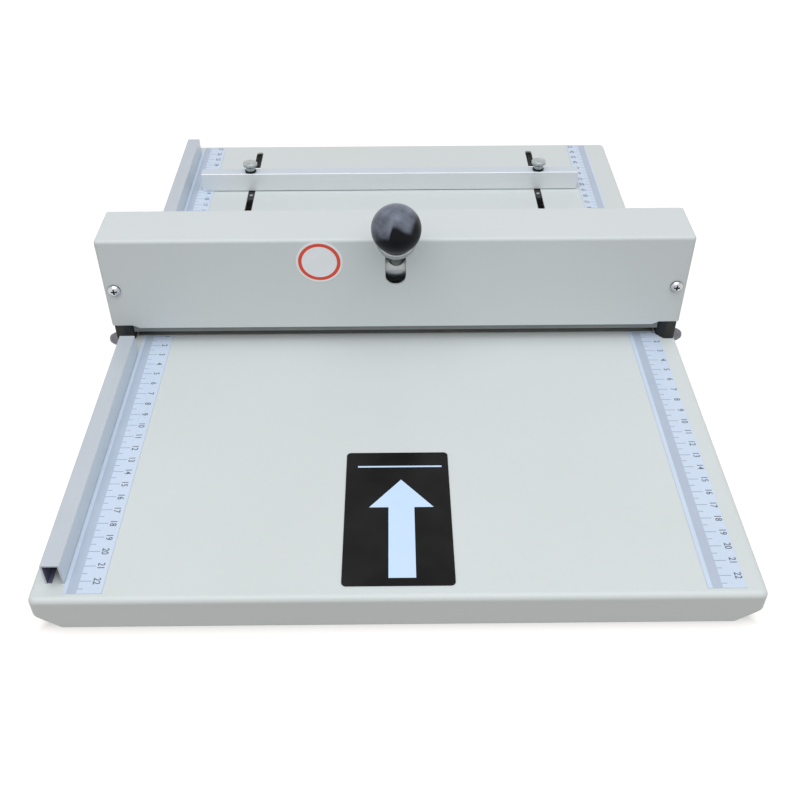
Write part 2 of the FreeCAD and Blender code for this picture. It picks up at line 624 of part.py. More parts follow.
def make_lower_beam():
    """Solid bar below the bed that carries the die and both end blocks, with its screws and side bolts."""
    body = new_body("lower_beam")
    length = "bed_width - 2 * bed_sheet - 2 * beam_end_gap"
    end = f"({length}) / 2"
    low = "-bed_sheet - beam_height"
    front_view = [
        (f"-{end}", low), (end, low), (end, "-bed_sheet - beam_bevel"), (f"{end} - beam_bevel", "-bed_sheet"),
        (f"-{end} + beam_bevel", "-bed_sheet"), (f"-{end}", "-bed_sheet - beam_bevel"),
    ]
    pad(body, outline(body, "XZ", front_view), "beam_width", both_ways=True)
    bed_of_die = box(
        f"-{HALF_DIE} - die_fit", f"{HALF_DIE} + die_fit", "-die_width / 2 - die_fit", "die_width / 2 + die_fit"
    )
    cut(body, outline(body, "XY", bed_of_die, offset="-bed_sheet"), "die_height - bed_sheet")
    block_screws = [(f"{s}{BLOCK_SCREW_X}", f"{t}block_screw_spread / 2") for s in ("", "-") for t in ("", "-")]
    cut(body, circles(body, "XY", "block_screw + 0.4", *block_screws, offset=low), back=True)
    cut(body, circles(body, "XY", "block_screw * 1.8", *block_screws, offset=low), "block_screw * 1.1", back=True)
    die_screws = [(f"{i} * die_screw_pitch", "0") for i in DIE_SCREW_STEPS]
    cut(body, circles(body, "XY", "die_screw + 0.4", *die_screws, offset=low), back=True)
    cut(body, circles(body, "XY", "die_screw * 1.8", *die_screws, offset=low), "die_screw * 1.1", back=True)
    bolt_hole = cut(
        body,
        circles(body, "YZ", "side_bolt + 2 * thread_fit", ("0", "-side_bolt_drop"), offset=end),
        "side_bolt_grip",
    )
    other_end = body.newObject("PartDesign::Mirrored", "lower_beam_other_end")
    other_end.Originals = [bolt_hole]
    plane = next(item for item in body.Origin.OriginFeatures if item.Role == "YZ_Plane")
    other_end.MirrorPlane = (plane, [""])
    body.Tip = other_end
    keep("lower_beam", seat(body))


DIE_SCREW_STEPS = (-2, -1, 0, 1, 2)


def make_die():
    """Steel strip flush with the bed, with the creasing groove along its top."""
    body = new_body("crease_die")
    half = "die_width / 2"
    groove = "die_groove / 2"
    section = [
        (f"-{half}", "-die_height"), (half, "-die_height"), (half, "-die_bevel"), (f"{half} - die_bevel", "0"),
        (groove, "0"), (groove, "-die_groove_depth"), (f"-{groove}", "-die_groove_depth"), (f"-{groove}", "0"),
        (f"-{half} + die_bevel", "0"), (f"-{half}", "-die_bevel"),
    ]
    pad(body, outline(body, "YZ", section), f"2 * {HALF_DIE}", both_ways=True)
    centres = [(f"{i} * die_screw_pitch", "0") for i in DIE_SCREW_STEPS]
    threads = circles(body, "XY", "die_screw + 2 * thread_fit", *centres, offset="-die_height")
    cut(body, threads, "die_height - die_groove_depth - 1", back=True)
    keep("crease_die", seat(body))
    grip = "bed_sheet + beam_height - die_screw * 1.1 - die_height + (die_height - die_groove_depth) * 0.6"
    screw = cap_screw("die_screw_form", "die_screw", grip)
    head_floor = -size("bed_sheet") - size("beam_height") + size("die_screw") * 1.1
    pitch = size("die_screw_pitch")
    spots = [spot(i * pitch, 0, head_floor, (0, 0, -1)) for i in DIE_SCREW_STEPS]
    keep("die_screws", seat(spread("die_screws", screw, spots)))


def make_end_blocks():
    """Blocks that stand on the bed at both ends: a wide foot, and an upper part that fits inside the cover."""
    body = new_body("end_block")
    foot = [
        (f"{HALF_WORK} + block_bevel", "-cover_front"), (HALF_COVER_IN, "-cover_front"), (HALF_COVER_IN, "cover_rear"),
        (f"{HALF_WORK} + block_bevel", "cover_rear"), (HALF_WORK, "cover_rear - block_bevel"),
        (HALF_WORK, "-cover_front + block_bevel"),
    ]
    pad(body, outline(body, "XY", foot), "block_step")
    upper = [
        (f"{HALF_WORK} + block_bevel", COVER_FRONT_IN), (f"{HALF_COVER_IN} - block_edge", COVER_FRONT_IN),
        (HALF_COVER_IN, f"{COVER_FRONT_IN} + block_edge"), (HALF_COVER_IN, f"{COVER_REAR_IN} - block_edge"),
        (f"{HALF_COVER_IN} - block_edge", COVER_REAR_IN), (f"{HALF_WORK} + block_bevel", COVER_REAR_IN),
        (HALF_WORK, f"{COVER_REAR_IN} - block_bevel"), (HALF_WORK, f"{COVER_FRONT_IN} + block_bevel"),
    ]
    pad(body, outline(body, "XY", upper), "block_height")
    half_groove = "tongue_width / 2 + slide_fit"
    groove = box(f"{HALF_WORK} - 1", f"{HALF_WORK} + guide_groove_depth", f"-({half_groove})", half_groove)
    cut(body, outline(body, "XY", groove), "guide_groove_height", back=True)
    bush = circles(body, "YZ", "shaft_diameter + 2 * bush_wall + 2 * fixed_fit", ("shaft_back", "shaft_rise"))
    cut(body, bush, back=True)
    hole = [(COVER_SCREW_X, "cover_screw_rise")]
    thread = "cover_screw + 2 * thread_fit"
    cut(body, circles(body, "XZ", thread, *hole, offset=f"-{COVER_FRONT_IN}"), "cover_screw_grip - cover_sheet")
    cut(body, circles(body, "XZ", thread, *hole, offset=f"-{COVER_REAR_IN}"), "cover_screw_grip - cover_sheet",
        back=True)
    foot_holes = [(BLOCK_SCREW_X, f"{t}block_screw_spread / 2") for t in ("", "-")]
    cut(body, circles(body, "XY", "block_screw + 2 * thread_fit", *foot_holes), "block_screw_reach + 1", back=True)
    top_holes = circles(body, "XY", "tie_screw + 2 * thread_fit", *TIE_SCREWS, offset="block_height")
    cut(body, top_holes, "tie_screw_reach + 0.5")
    right = keep("end_block_right", seat(body))
    keep("end_block_left", mirrored("end_block_left", right))


TIE_SCREWS = [(COVER_SCREW_X, "-tie_screw_front"), (COVER_SCREW_X, "tie_screw_rear")]


def make_block_screws():
    """Cap screws up through the lower beam and the bed into the end blocks, and the bolts through the bed's sides."""
    grip = "bed_sheet + beam_height - block_screw * 1.1 + block_screw_reach"
    screw = cap_screw("block_screw_form", "block_screw", grip)
    head_floor = -size("bed_sheet") - size("beam_height") + size("block_screw") * 1.1
    across = size("bed_width") / 2 - size("block_screw_inset")
    along = size("block_screw_spread") / 2
    spots = [spot(s * across, t * along, head_floor, (0, 0, -1)) for s in (1, -1) for t in (1, -1)]
    keep("block_screws", seat(spread("block_screws", screw, spots)))

    bolt = new_body("side_bolt")
    profile = [
        ("-side_bolt_grip", "0"), ("-side_bolt_grip", "side_bolt / 2"), ("0", "side_bolt / 2"),
        ("0", "side_bolt_head / 2"), ("side_bolt_dome * 0.25", "side_bolt_head / 2"),
        ("side_bolt_dome * 0.65", "side_bolt_head * 0.42"), ("side_bolt_dome * 0.9", "side_bolt_head * 0.3"),
        ("side_bolt_dome", "side_bolt_head * 0.2"), ("side_bolt_dome", "0"),
    ]
    turn_about(bolt, outline(bolt, "XZ", profile), "H_Axis")
    cut(bolt, outline(bolt, "YZ", hexagon("side_bolt * 0.6"), offset="side_bolt_dome"), "side_bolt_dome * 0.6")
    seat(bolt, x=HALF_BED, z="-side_bolt_drop")
    keep("side_bolts", pair("side_bolts", bolt))


def make_tie_beam():
    """Flat bar across the tops of the end blocks, notched for the lever, with the saddles that hang from it."""
    body = new_body("tie_beam")
    notch = "tie_notch_width / 2"
    plan = [
        (f"-{HALF_COVER_IN}", "-tie_front"), (f"-{notch}", "-tie_front"), (f"-{notch}", "tie_notch_back"),
        (notch, "tie_notch_back"), (notch, "-tie_front"), (HALF_COVER_IN, "-tie_front"),
        (HALF_COVER_IN, f"{COVER_REAR_IN} - block_edge"), (f"{HALF_COVER_IN} - block_edge", COVER_REAR_IN),
        (f"-{HALF_COVER_IN} + block_edge", COVER_REAR_IN), (f"-{HALF_COVER_IN}", f"{COVER_REAR_IN} - block_edge"),
    ]
    pad(body, outline(body, "XY", plan, offset="block_height"), "tie_height")
    ends = TIE_SCREWS + [("-" + x, y) for x, y in TIE_SCREWS]
    saddles = [(f"{s}saddle_offset", y) for s in ("", "-") for y in SADDLE_SCREWS]
    top = "block_height + tie_height"
    cut(body, circles(body, "XY", "tie_screw + 0.4", *ends, *saddles, offset=top))
    cut(body, circles(body, "XY", "tie_screw * 1.8", *ends, *saddles, offset=top), "tie_screw * 1.1")
    keep("tie_beam", seat(body))

    saddle = new_body("shaft_saddle")
    front = "shaft_back - saddle_front"
    section = box(front, COVER_REAR_IN, "shaft_rise", "block_height")
    drawing = outline(saddle, "YZ", section, offset="saddle_offset")
    pad(saddle, drawing, "saddle_width", both_ways=True)
    round_seat = circles(saddle, "YZ", "shaft_diameter + 2 * shaft_fit", ("shaft_back", "shaft_rise"))
    cut(saddle, round_seat, back=True)
    threads = [("saddle_offset", y) for y in SADDLE_SCREWS]
    holes = circles(saddle, "XY", "tie_screw + 2 * thread_fit", *threads, offset="block_height")
    cut(saddle, holes, "tie_screw_reach + 0.5")
    seat(saddle)
    keep("shaft_saddles", pair("shaft_saddles", saddle))

    screw = cap_screw("tie_screw_form", "tie_screw", "tie_height - tie_screw * 1.1 + tie_screw_reach")
    head_floor = size("block_height") + size("tie_height") - size("tie_screw") * 1.1
    end_x = size("bed_width") / 2 - size("cover_screw_inset")
    end_y = (-size("tie_screw_front"), size("tie_screw_rear"))
    saddle_y = (size("shaft_back") - size("tie_screw_front"), size("tie_screw_rear"))
    spots = [spot(s * end_x, y, head_floor) for s in (1, -1) for y in end_y]
    keep("tie_screws", seat(spread("tie_screws", screw, spots)))
    spots = [spot(s * size("saddle_offset"), y, head_floor) for s in (1, -1) for y in saddle_y]
    keep("saddle_screws", seat(spread("saddle_screws", screw, spots)))


SADDLE_SCREWS = ("shaft_back - tie_screw_front", "tie_screw_rear")


def make_press_bar():
    """Bar that carries the blade: notched on top for the hub and the bushes, with a tongue at each end."""
    body = new_body("press_bar")
    end = f"({HALF_WORK} - bar_end_gap)"
    half_hub = "hub_notch / 2"
    front_view = [
        (f"-{end}", "bar_floor"), (end, "bar_floor"), (end, "bar_shoulder"), (f"{end} - bar_end_notch", "bar_shoulder"),
        (f"{end} - bar_end_notch", BAR_TOP), (half_hub, BAR_TOP), (half_hub, "bar_shoulder"),
        (f"-{half_hub}", "bar_shoulder"), (f"-{half_hub}", BAR_TOP), (f"-{end} + bar_end_notch", BAR_TOP),
        (f"-{end} + bar_end_notch", "bar_shoulder"), (f"-{end}", "bar_shoulder"),
    ]
    pad(body, outline(body, "XZ", front_view, offset="-bar_rear"), "bar_front + bar_rear")
    reach = f"({HALF_WORK} + guide_groove_depth - slide_fit)"
    tongue = box(f"-{reach}", reach, "tongue_floor", "tongue_top")
    pad(body, outline(body, "XZ", tongue), "tongue_width", both_ways=True)
    slot = box("-blade_thickness / 2 - blade_fit", "blade_thickness / 2 + blade_fit", "bar_floor",
               "bar_floor + blade_slot_depth")
    cut(body, outline(body, "YZ", slot), both_ways=True)
    holes = [(f"{i} * blade_screw_pitch", "bar_floor + blade_screw_rise") for i in BLADE_SCREW_STEPS]
    threads = circles(body, "XZ", "blade_screw + 2 * thread_fit", *holes, offset="-bar_rear")
    cut(body, threads, "bar_rear - blade_thickness / 2", back=True)
    keep("press_bar", seat(body))


BLADE_SCREW_STEPS = (-2, -1, 0, 1, 2)


def make_blade():
    """Creasing blade with a rounded edge, and the set screws that clamp it in the press bar."""
    body = new_body("crease_blade")
    section = box("-blade_thickness / 2", "blade_thickness / 2", "bar_floor - blade_reach",
                  "bar_floor + blade_slot_depth - blade_fit")
    pad(body, outline(body, "YZ", section), f"2 * ({HALF_WORK} - blade_inset)", both_ways=True)
    tip = size("bar_floor") - size("blade_reach")
    long_edge = size("working_width") / 2
    soften(body, "Fillet", "blade_tip", lambda b: b.XLength > long_edge and near(b.ZMin, tip) and near(b.ZMax, tip))
    keep("crease_blade", seat(body))

    screw = new_body("blade_screw")
    pad(screw, circles(screw, "XY", "blade_screw", ("0", "0")), "bar_rear - blade_thickness / 2 - blade_fit")
    socket = outline(screw, "XY", hexagon("blade_screw_socket"), offset="bar_rear - blade_thickness / 2 - blade_fit")
    cut(screw, socket, "blade_screw_socket")
    rise = size("bar_floor") + size("blade_screw_rise")
    tip_y = size("blade_thickness") / 2
    pitch = size("blade_screw_pitch")
    spots = [spot(i * pitch, tip_y, rise, (0, 1, 0)) for i in BLADE_SCREW_STEPS]
    keep("blade_screws", seat(spread("blade_screws", screw, spots)))


def make_springs():
    """Coil springs that stand on the bed in the guide grooves and lift the press bar's tongues."""
    coil_height = "(tongue_floor - spring_wire - 2 * blade_fit)"
    coil = bind(doc.addObject("Part::Helix", "spring_coil"), Radius="spring_radius", Height=coil_height,
                Pitch=f"{coil_height} / spring_turns")
    wire = bind(doc.addObject("Part::Circle", "spring_section"), Radius="spring_wire / 2")
    wire.Placement.Rotation = FreeCAD.Rotation(Vector(1, 0, 0), 90)
    wire.setExpression("Placement.Base.x", formula("spring_radius"))
    spring = doc.addObject("Part::Sweep", "return_spring")
    spring.Sections = [wire]
    spring.Spine = (coil, [])
    spring.Solid = True
    spring.Frenet = True
    seat(spring, x=f"{HALF_WORK} + guide_groove_depth / 2", z="spring_wire / 2 + blade_fit")
    keep("return_springs", pair("return_springs", spring))


def make_shaft():
    """Cam shaft with ring grooves and pin holes, its flanged bushes and retaining rings."""
    body = new_body("cam_shaft")
    radius = "shaft_diameter / 2"
    low = f"{radius} - ring_depth"
    ring_out = f"({HALF_WORK} - bush_flange_width - ring_gap)"
    ring_in = f"({ring_out} - ring_width)"
    end = HALF_COVER_IN
    profile = [
        (f"-{end}", "0"), (f"-{end}", radius), (f"-{ring_out}", radius), (f"-{ring_out}", low), (f"-{ring_in}", low),
        (f"-{ring_in}", radius), (ring_in, radius), (ring_in, low), (ring_out, low), (ring_out, radius),
        (end, radius), (end, "0"),
    ]
    turn_about(body, outline(body, "XZ", profile), "H_Axis")
    pins = circles(body, "XY", "pin_diameter + 2 * fixed_fit", *[(x, "0") for x in PIN_PLACES])
    cut(body, pins, both_ways=True)
    keep("cam_shaft", seat(body, y="shaft_back", z="shaft_rise", turn="90 - lever_angle"))

    bush = new_body("shaft_bush")
    outer = f"{radius} + bush_wall"
    flange = f"{HALF_WORK} - bush_flange_width"
    profile = [
        (flange, f"{radius} + shaft_fit"), (HALF_COVER_IN, f"{radius} + shaft_fit"), (HALF_COVER_IN, outer),
        (HALF_WORK, outer), (HALF_WORK, "bush_flange / 2"), (flange, "bush_flange / 2"),
    ]
    turn_about(bush, outline(bush, "XZ", profile), "H_Axis")
    seat(bush, y="shaft_back", z="shaft_rise")
    keep("shaft_bushes", pair("shaft_bushes", bush))

    ring = new_body("shaft_ring")
    profile = box(f"{ring_in} + fixed_fit", f"{ring_out} - fixed_fit", f"{low} + fixed_fit", "ring_diameter / 2")
    turn_about(ring, outline(ring, "XZ", profile), "H_Axis")
    opening = box("-shaft_diameter * 0.42", "shaft_diameter * 0.42", "-ring_diameter", "0")
    cut(ring, outline(ring, "YZ", opening), back=True)
    seat(ring, y="shaft_back", z="shaft_rise", turn="90 - lever_angle")
    keep("shaft_rings", pair("shaft_rings", ring))


PIN_PLACES = ("cam_offset", "-cam_offset", "lever_offset + hub_pin_offset")


def cam_profile():
    """Outline of a cam at rest about the shaft axis, in (y, z).

    Its working part is the involute of a circle, so the bar sinks by equal steps for equal turns of the lever.
    """
    low = size("cam_low_radius")
    rate = size("press_stroke") / math.radians(size("lever_swing"))
    lead = math.radians(size("cam_lead"))
    swing = math.radians(size("lever_swing"))

    def flank(turn):
        """The point that touches the bar once the lever has swung by this angle."""
        direction = -math.pi / 2 - turn
        reach = low + rate * turn
        return (
            reach * math.cos(direction) + rate * math.sin(direction),
            reach * math.sin(direction) - rate * math.cos(direction),
        )

    steps = 8
    points = [flank(-lead + (swing + 2 * lead) * i / steps) for i in range(steps + 1)]
    nose_y, nose_z = points[-1]
    tangent = math.atan2(nose_z, nose_y) - math.acos(low / math.hypot(nose_y, nose_z))

    def on_boss(angle):
        return Vector(0, low * math.cos(angle), low * math.sin(angle))

    curve = Part.BSplineCurve()
    curve.interpolate([Vector(0, y, z) for y, z in points])
    bottom = -math.pi / 2
    top = math.fmod(tangent, 2 * math.pi)
    if top < bottom:
        top += 2 * math.pi
    boss = Part.Arc(on_boss(bottom), on_boss((bottom + top) / 2), on_boss(top))
    edges = [
        Part.LineSegment(on_boss(bottom), Vector(0, *points[0])).toShape(),
        curve.toShape(),
        Part.LineSegment(Vector(0, *points[-1]), on_boss(top)).toShape(),
        boss.toShape(),
    ]
    return Part.Face(Part.Wire(Part.__sortEdges__(edges)))


def make_cams():
    """Two equal cams, pinned to the shaft."""
    width = size("cam_width")
    bore = Part.makeCylinder(size("shaft_diameter") / 2 + size("fixed_fit"), 2 * width, Vector(-width, 0, 0),
                             Vector(1, 0, 0))
    angle = math.radians(size("lever_angle"))
    along = Vector(0, -math.cos(angle), math.sin(angle))
    pin_hole = Part.makeCylinder(size("pin_diameter") / 2 + size("fixed_fit"), 4 * width, along * (-2 * width), along)
    blank = cam_profile().extrude(Vector(width, 0, 0)).translated(Vector(-width / 2, 0, 0))
    solid = blank.cut(bore).cut(pin_hole)
    for side, place in (("right", "cam_offset"), ("left", "-cam_offset")):
        cam = doc.addObject("Part::Feature", "cam_" + side)
        cam.Shape = solid.Solids[0]
        keep("cam_" + side, seat(cam, x=place, y="shaft_back", z="shaft_rise"))


def make_lever():
    """Lever hub pinned to the shaft, flared stem screwed into it, and the ball knob."""
    tilt = "90 - lever_angle"
    hub = new_body("lever_hub")
    pad(hub, circles(hub, "YZ", "2 * hub_radius", ("0", "0")), "hub_width", both_ways=True)
    soften(hub, "Chamfer", "die_bevel * 2", lambda b: b.XLength < 0.01)
    cut(hub, circles(hub, "YZ", "shaft_diameter + 2 * fixed_fit", ("0", "0")), both_ways=True)
    cut(hub, circles(hub, "XY", "hub_seat_diameter", ("0", "0"), offset="hub_radius + 1"), "hub_radius + 1 - hub_seat")
    cut(hub, circles(hub, "XY", "stem_thread + 2 * thread_fit", ("0", "0")), "hub_radius", back=True)
    cut(hub, circles(hub, "XY", "pin_diameter + 2 * fixed_fit", ("hub_pin_offset", "0")), both_ways=True)
    keep("lever_hub", seat(hub, x="lever_offset", y="shaft_back", z="shaft_rise", turn=tilt))

    stem = turned(
        "lever_stem",
        [
            ("0", "stem_thread_end"), ("stem_thread / 2", "stem_thread_end"), ("stem_thread / 2", "hub_seat"),
            ("stem_diameter / 2", "hub_seat"), ("stem_diameter / 2", "collar_floor"),
            ("collar_diameter / 2", "collar_floor"), ("collar_diameter / 2", "collar_top"),
            ("stem_thread / 2", "collar_top"), ("stem_thread / 2", "collar_top + ball_thread_depth - 1"),
            ("0", "collar_top + ball_thread_depth - 1"),
        ],
    )
    floor = size("collar_floor")
    top = size("collar_top")
    neck = size("stem_diameter")
    rim = size("collar_diameter")
    soften(stem, "Chamfer", "collar_edge", lambda b: near(b.XLength, rim) and near(b.ZMin, top))
    soften(stem, "Fillet", "collar_flare", lambda b: near(b.XLength, neck) and near(b.ZMin, floor))
    keep("lever_stem", seat(stem, x="lever_offset", y="shaft_back", z="shaft_rise", turn=tilt))

    sphere = bind(doc.addObject("Part::Sphere", "ball"), Radius="ball_radius",
                  Angle1="-asin((ball_centre - collar_top) / ball_radius)")
    sphere.setExpression("Placement.Base.z", formula("ball_centre"))
    thread = bind(doc.addObject("Part::Cylinder", "ball_thread"), Radius="stem_thread / 2 + thread_fit",
                  Height="ball_thread_depth + 1")
    thread.setExpression("Placement.Base.z", formula("collar_top - 1"))
    knob = doc.addObject("Part::Cut", "ball_knob")
    knob.Base = sphere
    knob.Tool = thread
    keep("ball_knob", seat(knob, x="lever_offset", y="shaft_back", z="shaft_rise", turn=tilt))

    def pin(name, reach, x):
        made = bind(doc.addObject("Part::Cylinder", name), Radius="pin_diameter / 2", Height=f"2 * ({reach})")
        made.Placement.Rotation = FreeCAD.Rotation(Vector(1, 0, 0), 1)
        return seat(made, x=x, y=f"shaft_back + ({reach}) * cos(lever_angle)",
                    z=f"shaft_rise - ({reach}) * sin(lever_angle)", turn=tilt)

    short = "cam_low_radius - fixed_fit"
    keep("cam_pins", group("cam_pins", pin("cam_pin_right", short, "cam_offset"),
                           pin("cam_pin_left", short, "-cam_offset")))
    keep("hub_pin", pin("hub_pin", "hub_radius - 0.5", "lever_offset + hub_pin_offset"))


def make_cover():
    """Folded sheet cover over the press, open below, notched over the end blocks and slotted for the lever."""
    body = new_body("housing_cover")
    plan = box(f"-{HALF_BED}", HALF_BED, "-cover_front", "cover_rear")
    pad(body, outline(body, "XY", plan, offset="cover_gap"), "cover_top - cover_gap")
    cover_rise = size("cover_top") - size("cover_gap")
    soften(body, "Fillet", "cover_fold", lambda b: near(b.ZMin, size("cover_top")) or near(b.ZLength, cover_rise))
    hollow(body, "cover_sheet", size("cover_gap"))
    level = f"({HALF_BED} - notch_width)"
    notches = [
        [(f"{s}({level} - notch_slant)", "cover_gap"), (f"{s}{level}", "block_step + cover_fit"),
         (f"{s}({HALF_BED} + 1)", "block_step + cover_fit"), (f"{s}({HALF_BED} + 1)", "cover_gap - 1"),
         (f"{s}({level} - notch_slant)", "cover_gap - 1")]
        for s in ("", "-")
    ]
    cut(body, outline(body, "XZ", *notches), both_ways=True)
    slot = box("-slot_width / 2", "slot_width / 2", SLOT_CENTRE, "cover_top + 1")
    cut(body, outline(body, "XZ", slot, offset="cover_front"), "slot_reach", back=False)
    cut(body, circles(body, "XZ", "slot_width", ("0", SLOT_CENTRE), offset="cover_front"), "cover_sheet", back=False)
    holes = [(f"{s}{COVER_SCREW_X}", "cover_screw_rise") for s in ("", "-")]
    cut(body, circles(body, "XZ", "cover_screw + 0.4", *holes), both_ways=True)
    keep("housing_cover", seat(body))

    form = pan_screw("cover_screw_form", "cover_screw", "cover_screw_head / 2", "cover_screw_dome", "cover_screw_grip")
    across = size("bed_width") / 2 - size("cover_screw_inset")
    rise = size("cover_screw_rise")
    spots = [spot(s * across, -size("cover_front"), rise, (0, -1, 0)) for s in (1, -1)]
    spots += [spot(s * across, size("cover_rear"), rise, (0, 1, 0)) for s in (1, -1)]
    keep("cover_screws", seat(spread("cover_screws", form, spots)))


def make_side_lays():
    """Inverted channels along the left side, the blocks inside them and the screws from below."""
    outer = ("-bed_width / 2 + lay_inset", "-bed_width / 2 + lay_inset + lay_width")
    section = [
        (outer[0], "0"), (f"{outer[0]} + lay_wall", "0"), (f"{outer[0]} + lay_wall", "lay_height - lay_wall"),
        (f"{outer[1]} - lay_wall", "lay_height - lay_wall"), (f"{outer[1]} - lay_wall", "0"), (outer[1], "0"),
        (outer[1], "lay_height"), (outer[0], "lay_height"),
    ]
    for name, near_end, length in (
        ("front_guide", "cover_front + lay_gap", "lay_front_end - cover_front - lay_gap"),
        ("rear_guide", "-lay_rear_end", "lay_rear_end - cover_rear - lay_gap"),
    ):
        body = new_body(name)
        pad(body, outline(body, "XZ", section, offset=near_end), length)
        keep(name, seat(body))

    block = new_body("guide_block")
    half = "lay_width / 2 - lay_wall - thread_fit"
    half_length = "lay_block_length / 2"
    pad(block, outline(block, "XY", box(f"-({half})", half, f"-{half_length}", half_length)), "lay_block_height")
    cut(block, circles(block, "XY", "lay_screw + 2 * thread_fit", ("0", "0")), "lay_block_height * 0.7", back=True)
    x = -size("bed_width") / 2 + size("lay_inset") + size("lay_width") / 2
    margin = size("lay_block_margin")
    rows = (
        -size("lay_front_end") + margin,
        -size("cover_front") - margin,
        size("cover_rear") + margin,
        size("lay_rear_end") - margin,
    )
    keep("guide_blocks", seat(spread("guide_blocks", block, [spot(x, y, 0) for y in rows])))
    screw = pan_screw("guide_screw_form", "lay_screw", "lay_screw * 0.95", "lay_screw * 0.6",
                      "bed_sheet + lay_block_height * 0.6")
    spots = [spot(x, y, -size("bed_sheet"), (0, 0, -1)) for y in rows]
    keep("guide_screws", seat(spread("guide_screws", screw, spots)))


def make_scales():
    """Four plastic scales stuck to the bed; the front right one is trimmed round the end block."""
    left = f"-{HALF_BED} + scale_left_inset"
    right = f"({HALF_BED} - scale_right_inset)"
    rear_right = f"({HALF_BED} - scale_rear_inset)"
    beside = f"({HALF_WORK} - scale_gap)"
    foot_of_bevel = "cover_front - block_bevel"
    plans = {
        "ruler_front_left": box(left, f"{left} + scale_width", "-scale_start", "-scale_front_end"),
        "ruler_rear_left": box(left, f"{left} + scale_width", "scale_start", "scale_rear_end"),
        "ruler_front_right": [
            (f"{right} - scale_width", "-scale_start"), (f"{right} - scale_width", "-scale_front_end"),
            (right, "-scale_front_end"), (right, f"-({foot_of_bevel} + {right} - {beside})"),
            (beside, f"-({foot_of_bevel})"), (beside, "-scale_start"),
        ],
        "ruler_rear_right": box(f"{rear_right} - scale_rear_width", rear_right, "scale_start", "scale_rear_end"),
    }
    for name, plan in plans.items():
        body = new_body(name)
        pad(body, outline(body, "XY", plan), "scale_thickness")
        keep(name, seat(body))


def make_labels():
    """Arrow plate on the bed and round label on the cover, both without their print."""
    plate = new_body("arrow_label")
    half = "plate_width / 2"
    pad(plate, outline(plate, "XY", box(f"-{half}", half, "-plate_start - plate_length", "-plate_start")),
        "plate_thickness")
    soften(plate, "Fillet", "plate_corner", lambda b: near(b.ZLength, size("plate_thickness")))
    keep("arrow_label", seat(plate))

    disc = new_body("round_label")
    centre = ("-disc_offset", "disc_rise")
    pad(disc, circles(disc, "XZ", "disc_diameter", centre, offset="cover_front"), "disc_thickness")
    keep("round_label", seat(disc))


